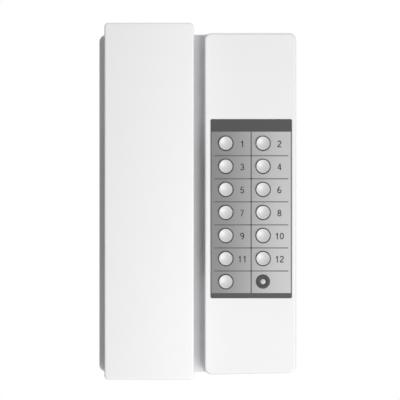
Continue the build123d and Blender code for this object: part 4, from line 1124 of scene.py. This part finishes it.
@dataclass
class InUseLamp(Assembly):
    """The lamp: a black ring, and in its bore a milky lens on two legs."""

    bore: float = 1.9 * MM
    sleeve: float = 2.35 * MM
    ring_height: float = 0.3 * MM
    ring_fullness: float = 0.6
    lens_radius: float = 1.75 * MM
    lens_length: float = 5.3 * MM
    lens_nose: float = 0.9 * MM
    flange_height: float = 1.0 * MM
    leg_width: float = 0.5 * MM
    leg_offset: float = 1.27 * MM
    leg_root: float = 0.5 * MM
    arch_rings: int = 17
    nose_rings: int = 12
    around: int = 96

    def ring(self) -> None:
        """Make the black ring, turned from a low arch between its bore and its rim.

        The arch rises as a power of the sine along it, which makes its crown broad.
        """
        low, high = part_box("lamp_ring")
        outer, back, seat = (high.x - low.x) / 2, -high.y, -low.y - self.ring_height
        turn = np.linspace(0, pi, self.arch_rings)
        radius = (outer + self.bore) / 2 + (outer - self.bore) / 2 * np.cos(turn)
        depth = seat + self.ring_height * np.sin(turn) ** self.ring_fullness
        wall = [(self.sleeve, back), (self.sleeve, seat)]
        arch = np.stack([radius, depth], axis=-1)
        profile = np.concatenate([wall, arch, [(self.bore, back)]])
        shape = skin(turned(profile, middle("lamp_ring"), self.around), hoop=True)
        ring = piece("lamp_ring_arch", shape, RING_ABS, "base")
        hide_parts("lamp_ring")

    def lens(self) -> None:
        """Make the milky lens with its flange and legs. Its nose is part of an ellipse."""
        low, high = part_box("in_use_lamp")
        centre, top, flange = middle("lamp_ring"), -low.y, (high.x - low.x) / 2
        base = top - self.lens_length
        step = base + self.flange_height
        turn = np.linspace(0, pi / 2, self.nose_rings)[:-1]
        depth = top - self.lens_nose * (1 - np.sin(turn))
        nose = np.stack([self.lens_radius * np.cos(turn), depth], axis=-1)
        barrel = [(flange, base), (flange, step), (self.lens_radius, step)]
        parts = [skin(turned(np.concatenate([barrel, nose]), centre))]
        for offset in (-self.leg_offset, self.leg_offset):
            leg = oblong((centre[0] + offset, centre[1]), self.leg_width, self.leg_width)
            parts.append(plate(leg, -high.y, base + self.leg_root))
        made = piece("lamp_lens", merged(parts), LENS_RESIN, "base")
        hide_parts("in_use_lamp")

    def build(self) -> None:
        """Make the whole lamp."""
        self.ring()
        self.lens()


@dataclass
class CordJack(Assembly):
    """A small modular socket with four sprung contacts in its mouth."""

    node: str = "base_jack"
    body: str = "base"
    contacts: int = 4
    pitch: float = 1.27 * MM
    wire: float = 0.22 * MM
    around: int = 8
    rises_mm: tuple[float, ...] = (1.2, 2.0, 6.0, 9.6)
    sinks_mm: tuple[float, ...] = (2.9, 3.0, 4.4, 5.6)

    def build(self) -> None:
        """Dress the socket and bend its contact wires into its mouth.

        Each wire is a tube along a bent line that climbs the mouth and leans back from its face:
        a ring of points carried from one bend to the next.
        """
        self.dress({self.node: JACK_NYLON})
        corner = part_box(self.node)[0]
        z = corner.z + np.array(self.rises_mm)[:, None] * MM
        y = corner.y + np.array(self.sinks_mm)[:, None] * MM
        angle = np.linspace(0, 2 * pi, self.around, endpoint=False)
        parts = []
        for i in range(self.contacts):
            x = middle(self.node)[0] + (i - (self.contacts - 1) / 2) * self.pitch
            ring = x + self.wire * np.cos(angle), y + self.wire * np.sin(angle), z
            parts.append(skin(np.stack(np.broadcast_arrays(*ring), axis=-1)))
        name, wires = f"{self.node}_contacts", merged(parts)
        piece(name, wires, CONTACT_GOLD, self.body, SHARP_IF_THIN)


@dataclass
class HookGear(Assembly):
    """The plunger under the handset, with its coil spring and its switch."""

    turns: int = 5
    wire: float = 0.3 * MM
    steps_per_turn: int = 40
    around: int = 12

    def build(self) -> None:
        """Dress the plunger and the switch, and wind the spring.

        The spring is a tube along a helix: its middle line climbs evenly with the angle, and
        each ring stands square to it. It stretches between the base and the plunger.
        """
        self.dress({"hook_plunger": PLUNGER_ACETAL, "hook_switch": CONNECTOR_NYLON})
        low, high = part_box("hook_spring")
        x, z = middle("hook_spring")
        radius = (high.x - low.x) / 2 - self.wire
        rise = (high.y - low.y) - 2 * self.wire
        share = np.linspace(0, 1, self.steps_per_turn * self.turns + 1)
        angle = 2 * pi * self.turns * share
        out = np.stack([np.cos(angle), 0 * angle, np.sin(angle)], axis=-1)
        climb = rise / (2 * pi * self.turns * radius)
        along = np.stack([-np.sin(angle), -climb + 0 * angle, np.cos(angle)], axis=-1)
        along /= np.linalg.norm(along, axis=1, keepdims=True)
        third = np.cross(along, out)
        core = out * radius + np.array([x, 0, z])
        core[:, 1] = high.y - self.wire - rise * share
        turn = np.linspace(0, 2 * pi, self.around, endpoint=False)[None, :, None]
        ring = np.cos(turn) * out[:, None, :] + np.sin(turn) * third[:, None, :]
        coil = skin(core[:, None, :] + self.wire * ring)
        made = piece("hook_spring_coil", coil, SPRING_WIRE, None, SHARP_IF_THIN)
        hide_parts("hook_spring")
        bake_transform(made)


@dataclass
class Electronics(Assembly):
    """What the base holds: boards, terminals, speaker and the parts on the main board."""

    ways: int = 6
    pitch: float = 5.0 * MM
    row_offset: float = 5.0 * MM
    screw_sink: float = 2.0 * MM
    screw: Screw = Screw(
        recess=Recess.SLOT,
        head_radius=1.4 * MM,
        head_height=0.9 * MM,
        dome=0.15 * MM,
        recess_depth=0.5 * MM,
        arm_share=0.17,
    )

    def build(self) -> None:
        """Dress the parts, and set a slotted screw in each terminal."""
        finishes = {
            "main_board": BOARD_MASK,
            "terminal_board": BOARD_MASK,
            "audio_transformer": CORE_STEEL,
            "relay": RELAY_CASE,
            "capacitors": CAPACITOR_SLEEVE,
            "terminal_blocks": TERMINAL_NYLON,
            "board_link": CONNECTOR_NYLON,
            "call_speaker": SPEAKER_FRAME,
        }
        self.dress(finishes)
        x, z = middle("terminal_blocks")
        seat = -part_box("terminal_blocks")[1].y + self.screw_sink
        screw = replace(self.screw, seat=seat)
        parts = []
        for row in (-self.row_offset, self.row_offset):
            for i in range(self.ways):
                place = (x + (i - (self.ways - 1) / 2) * self.pitch, z + row)
                parts.append(screw.head(place))
        piece("terminal_screw_set", merged(parts), PLATED_SCREW, "base")


@dataclass
class Handset(Assembly):
    """The slab handset: a gently crowned front shell on the arched rear shell."""

    seam: float = 48.0 * MM
    corner: float = 2.6 * MM
    least_corner: float = 0.1 * MM
    edge: float = 1.0 * MM
    crown: float = 0.9 * MM
    seam_step: float = 0.25 * MM
    wall: float = 2.0 * MM
    last_inset: float = 0.15 * MM
    crowding: float = 1.4
    boss_radius: float = 3.2 * MM
    screw_inset: float = 6.0 * MM
    screw: Screw = Screw(seat=30.3 * MM, length=11.0 * MM)
    edge_rings: int = 9
    face_rings: int = 15
    ceiling_rings: int = 8
    per_end: int = 24
    boss_around: int = 32

    def front_shell(self) -> None:
        """Make the slab that shows, softened at its edges and crowned across its width.

        Rings of the rounded outline start at the middle of the hollow's ceiling, come down the
        inside to the seam, climb the outer wall, turn inwards over a quarter circle and close in
        on the middle of the face, where they crowd towards the edge by a power of their share.
        Every depth in ceiling and face is less by the crown times the square of x over the half
        width, so both fall gently to the two long sides.
        """
        low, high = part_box("handset_front_shell")
        width, length = high.x - low.x, high.z - low.z
        face, centre = -low.y, middle("handset_front_shell")
        turn = np.linspace(0, pi / 2, self.edge_rings)
        deep = width / 2 - self.last_inset
        share = np.linspace(0, 1, self.face_rings)[1:]
        inward = self.edge + (deep - self.edge) * share**self.crowding
        insets = np.concatenate([self.edge * (1 - np.cos(turn)), inward])
        drops = np.concatenate([self.edge * (1 - np.sin(turn)), 0 * inward])
        step, ceiling = self.seam_step, face - self.wall
        inner = np.linspace(deep, self.wall, self.ceiling_rings)
        hollow = [(inset, ceiling, self.crown) for inset in inner]
        sides = [(self.wall, self.seam, 0.0), (step, self.seam, 0.0), (0.0, self.seam + step, 0.0)]
        front = [(inset, face - drop, self.crown) for inset, drop in zip(insets, drops)]
        rings = []
        for inset, level, crown in hollow + sides + front:
            corner = max(self.corner - inset, self.least_corner)
            flat = outline(width - 2 * inset, length - 2 * inset, corner, self.per_end)
            depth = level - crown * (2 * flat[:, 0] / width) ** 2
            flat = flat + centre
            rings.append(np.stack([flat[:, 0], -depth, flat[:, 1]], axis=-1))
        side = np.array([(self.boss_radius, -high.y), (self.boss_radius, ceiling)])
        bosses = [skin(turned(side, place, self.boss_around)) for place in self.screw_places()]
        shell = merged([skin(np.stack(rings)), *bosses])
        made = piece("handset_slab", shell, HANDSET_ABS, "handset")
        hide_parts("handset_front_shell")

    def screw_places(self) -> list[Place]:
        """Give the places of the four screws.

        Returns:
            Their x and z, near the corners of the front shell.
        """
        low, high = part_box("handset_front_shell")
        across = (low.x + self.screw_inset, high.x - self.screw_inset)
        up = (low.z + self.screw_inset, high.z - self.screw_inset)
        return [(x, z) for x in across for z in up]

    def screws(self) -> None:
        """Drive the four screws up the end blocks' counterbores."""
        screws = self.screw.driven(self.screw_places())
        made = piece("handset_screw_set", screws, PLATED_SCREW, "handset")
        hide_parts("handset_screws")

    def build(self) -> None:
        """Make and dress the whole handset."""
        self.front_shell()
        self.smooth("handset_rear_shell", HANDSET_ABS, "handset", "handset_plastic")
        self.screws()
        finishes = {
            "handset_board": BOARD_MASK,
            "handset_weight": CAST_IRON,
            "receiver_pad": FOAM,
            "receiver_capsule": CAPSULE_CAN,
            "microphone_boot": BOOT_RUBBER,
            "microphone_capsule": CAPSULE_CAN,
        }
        self.dress(finishes)


def main() -> None:
    """Load the frame and dress every part in order."""
    logging.basicConfig(level=logging.INFO, format="%(name)s: %(message)s")
    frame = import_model()
    Studio().build()
    for kind in (Covers, Keypad, KeyMat, InUseLamp, HookGear, Electronics, CordJack):
        kind(frame).build()
    CordJack(frame, "handset_jack", "handset").build()
    Handset(frame).build()


if __name__ == "__main__":
    main()
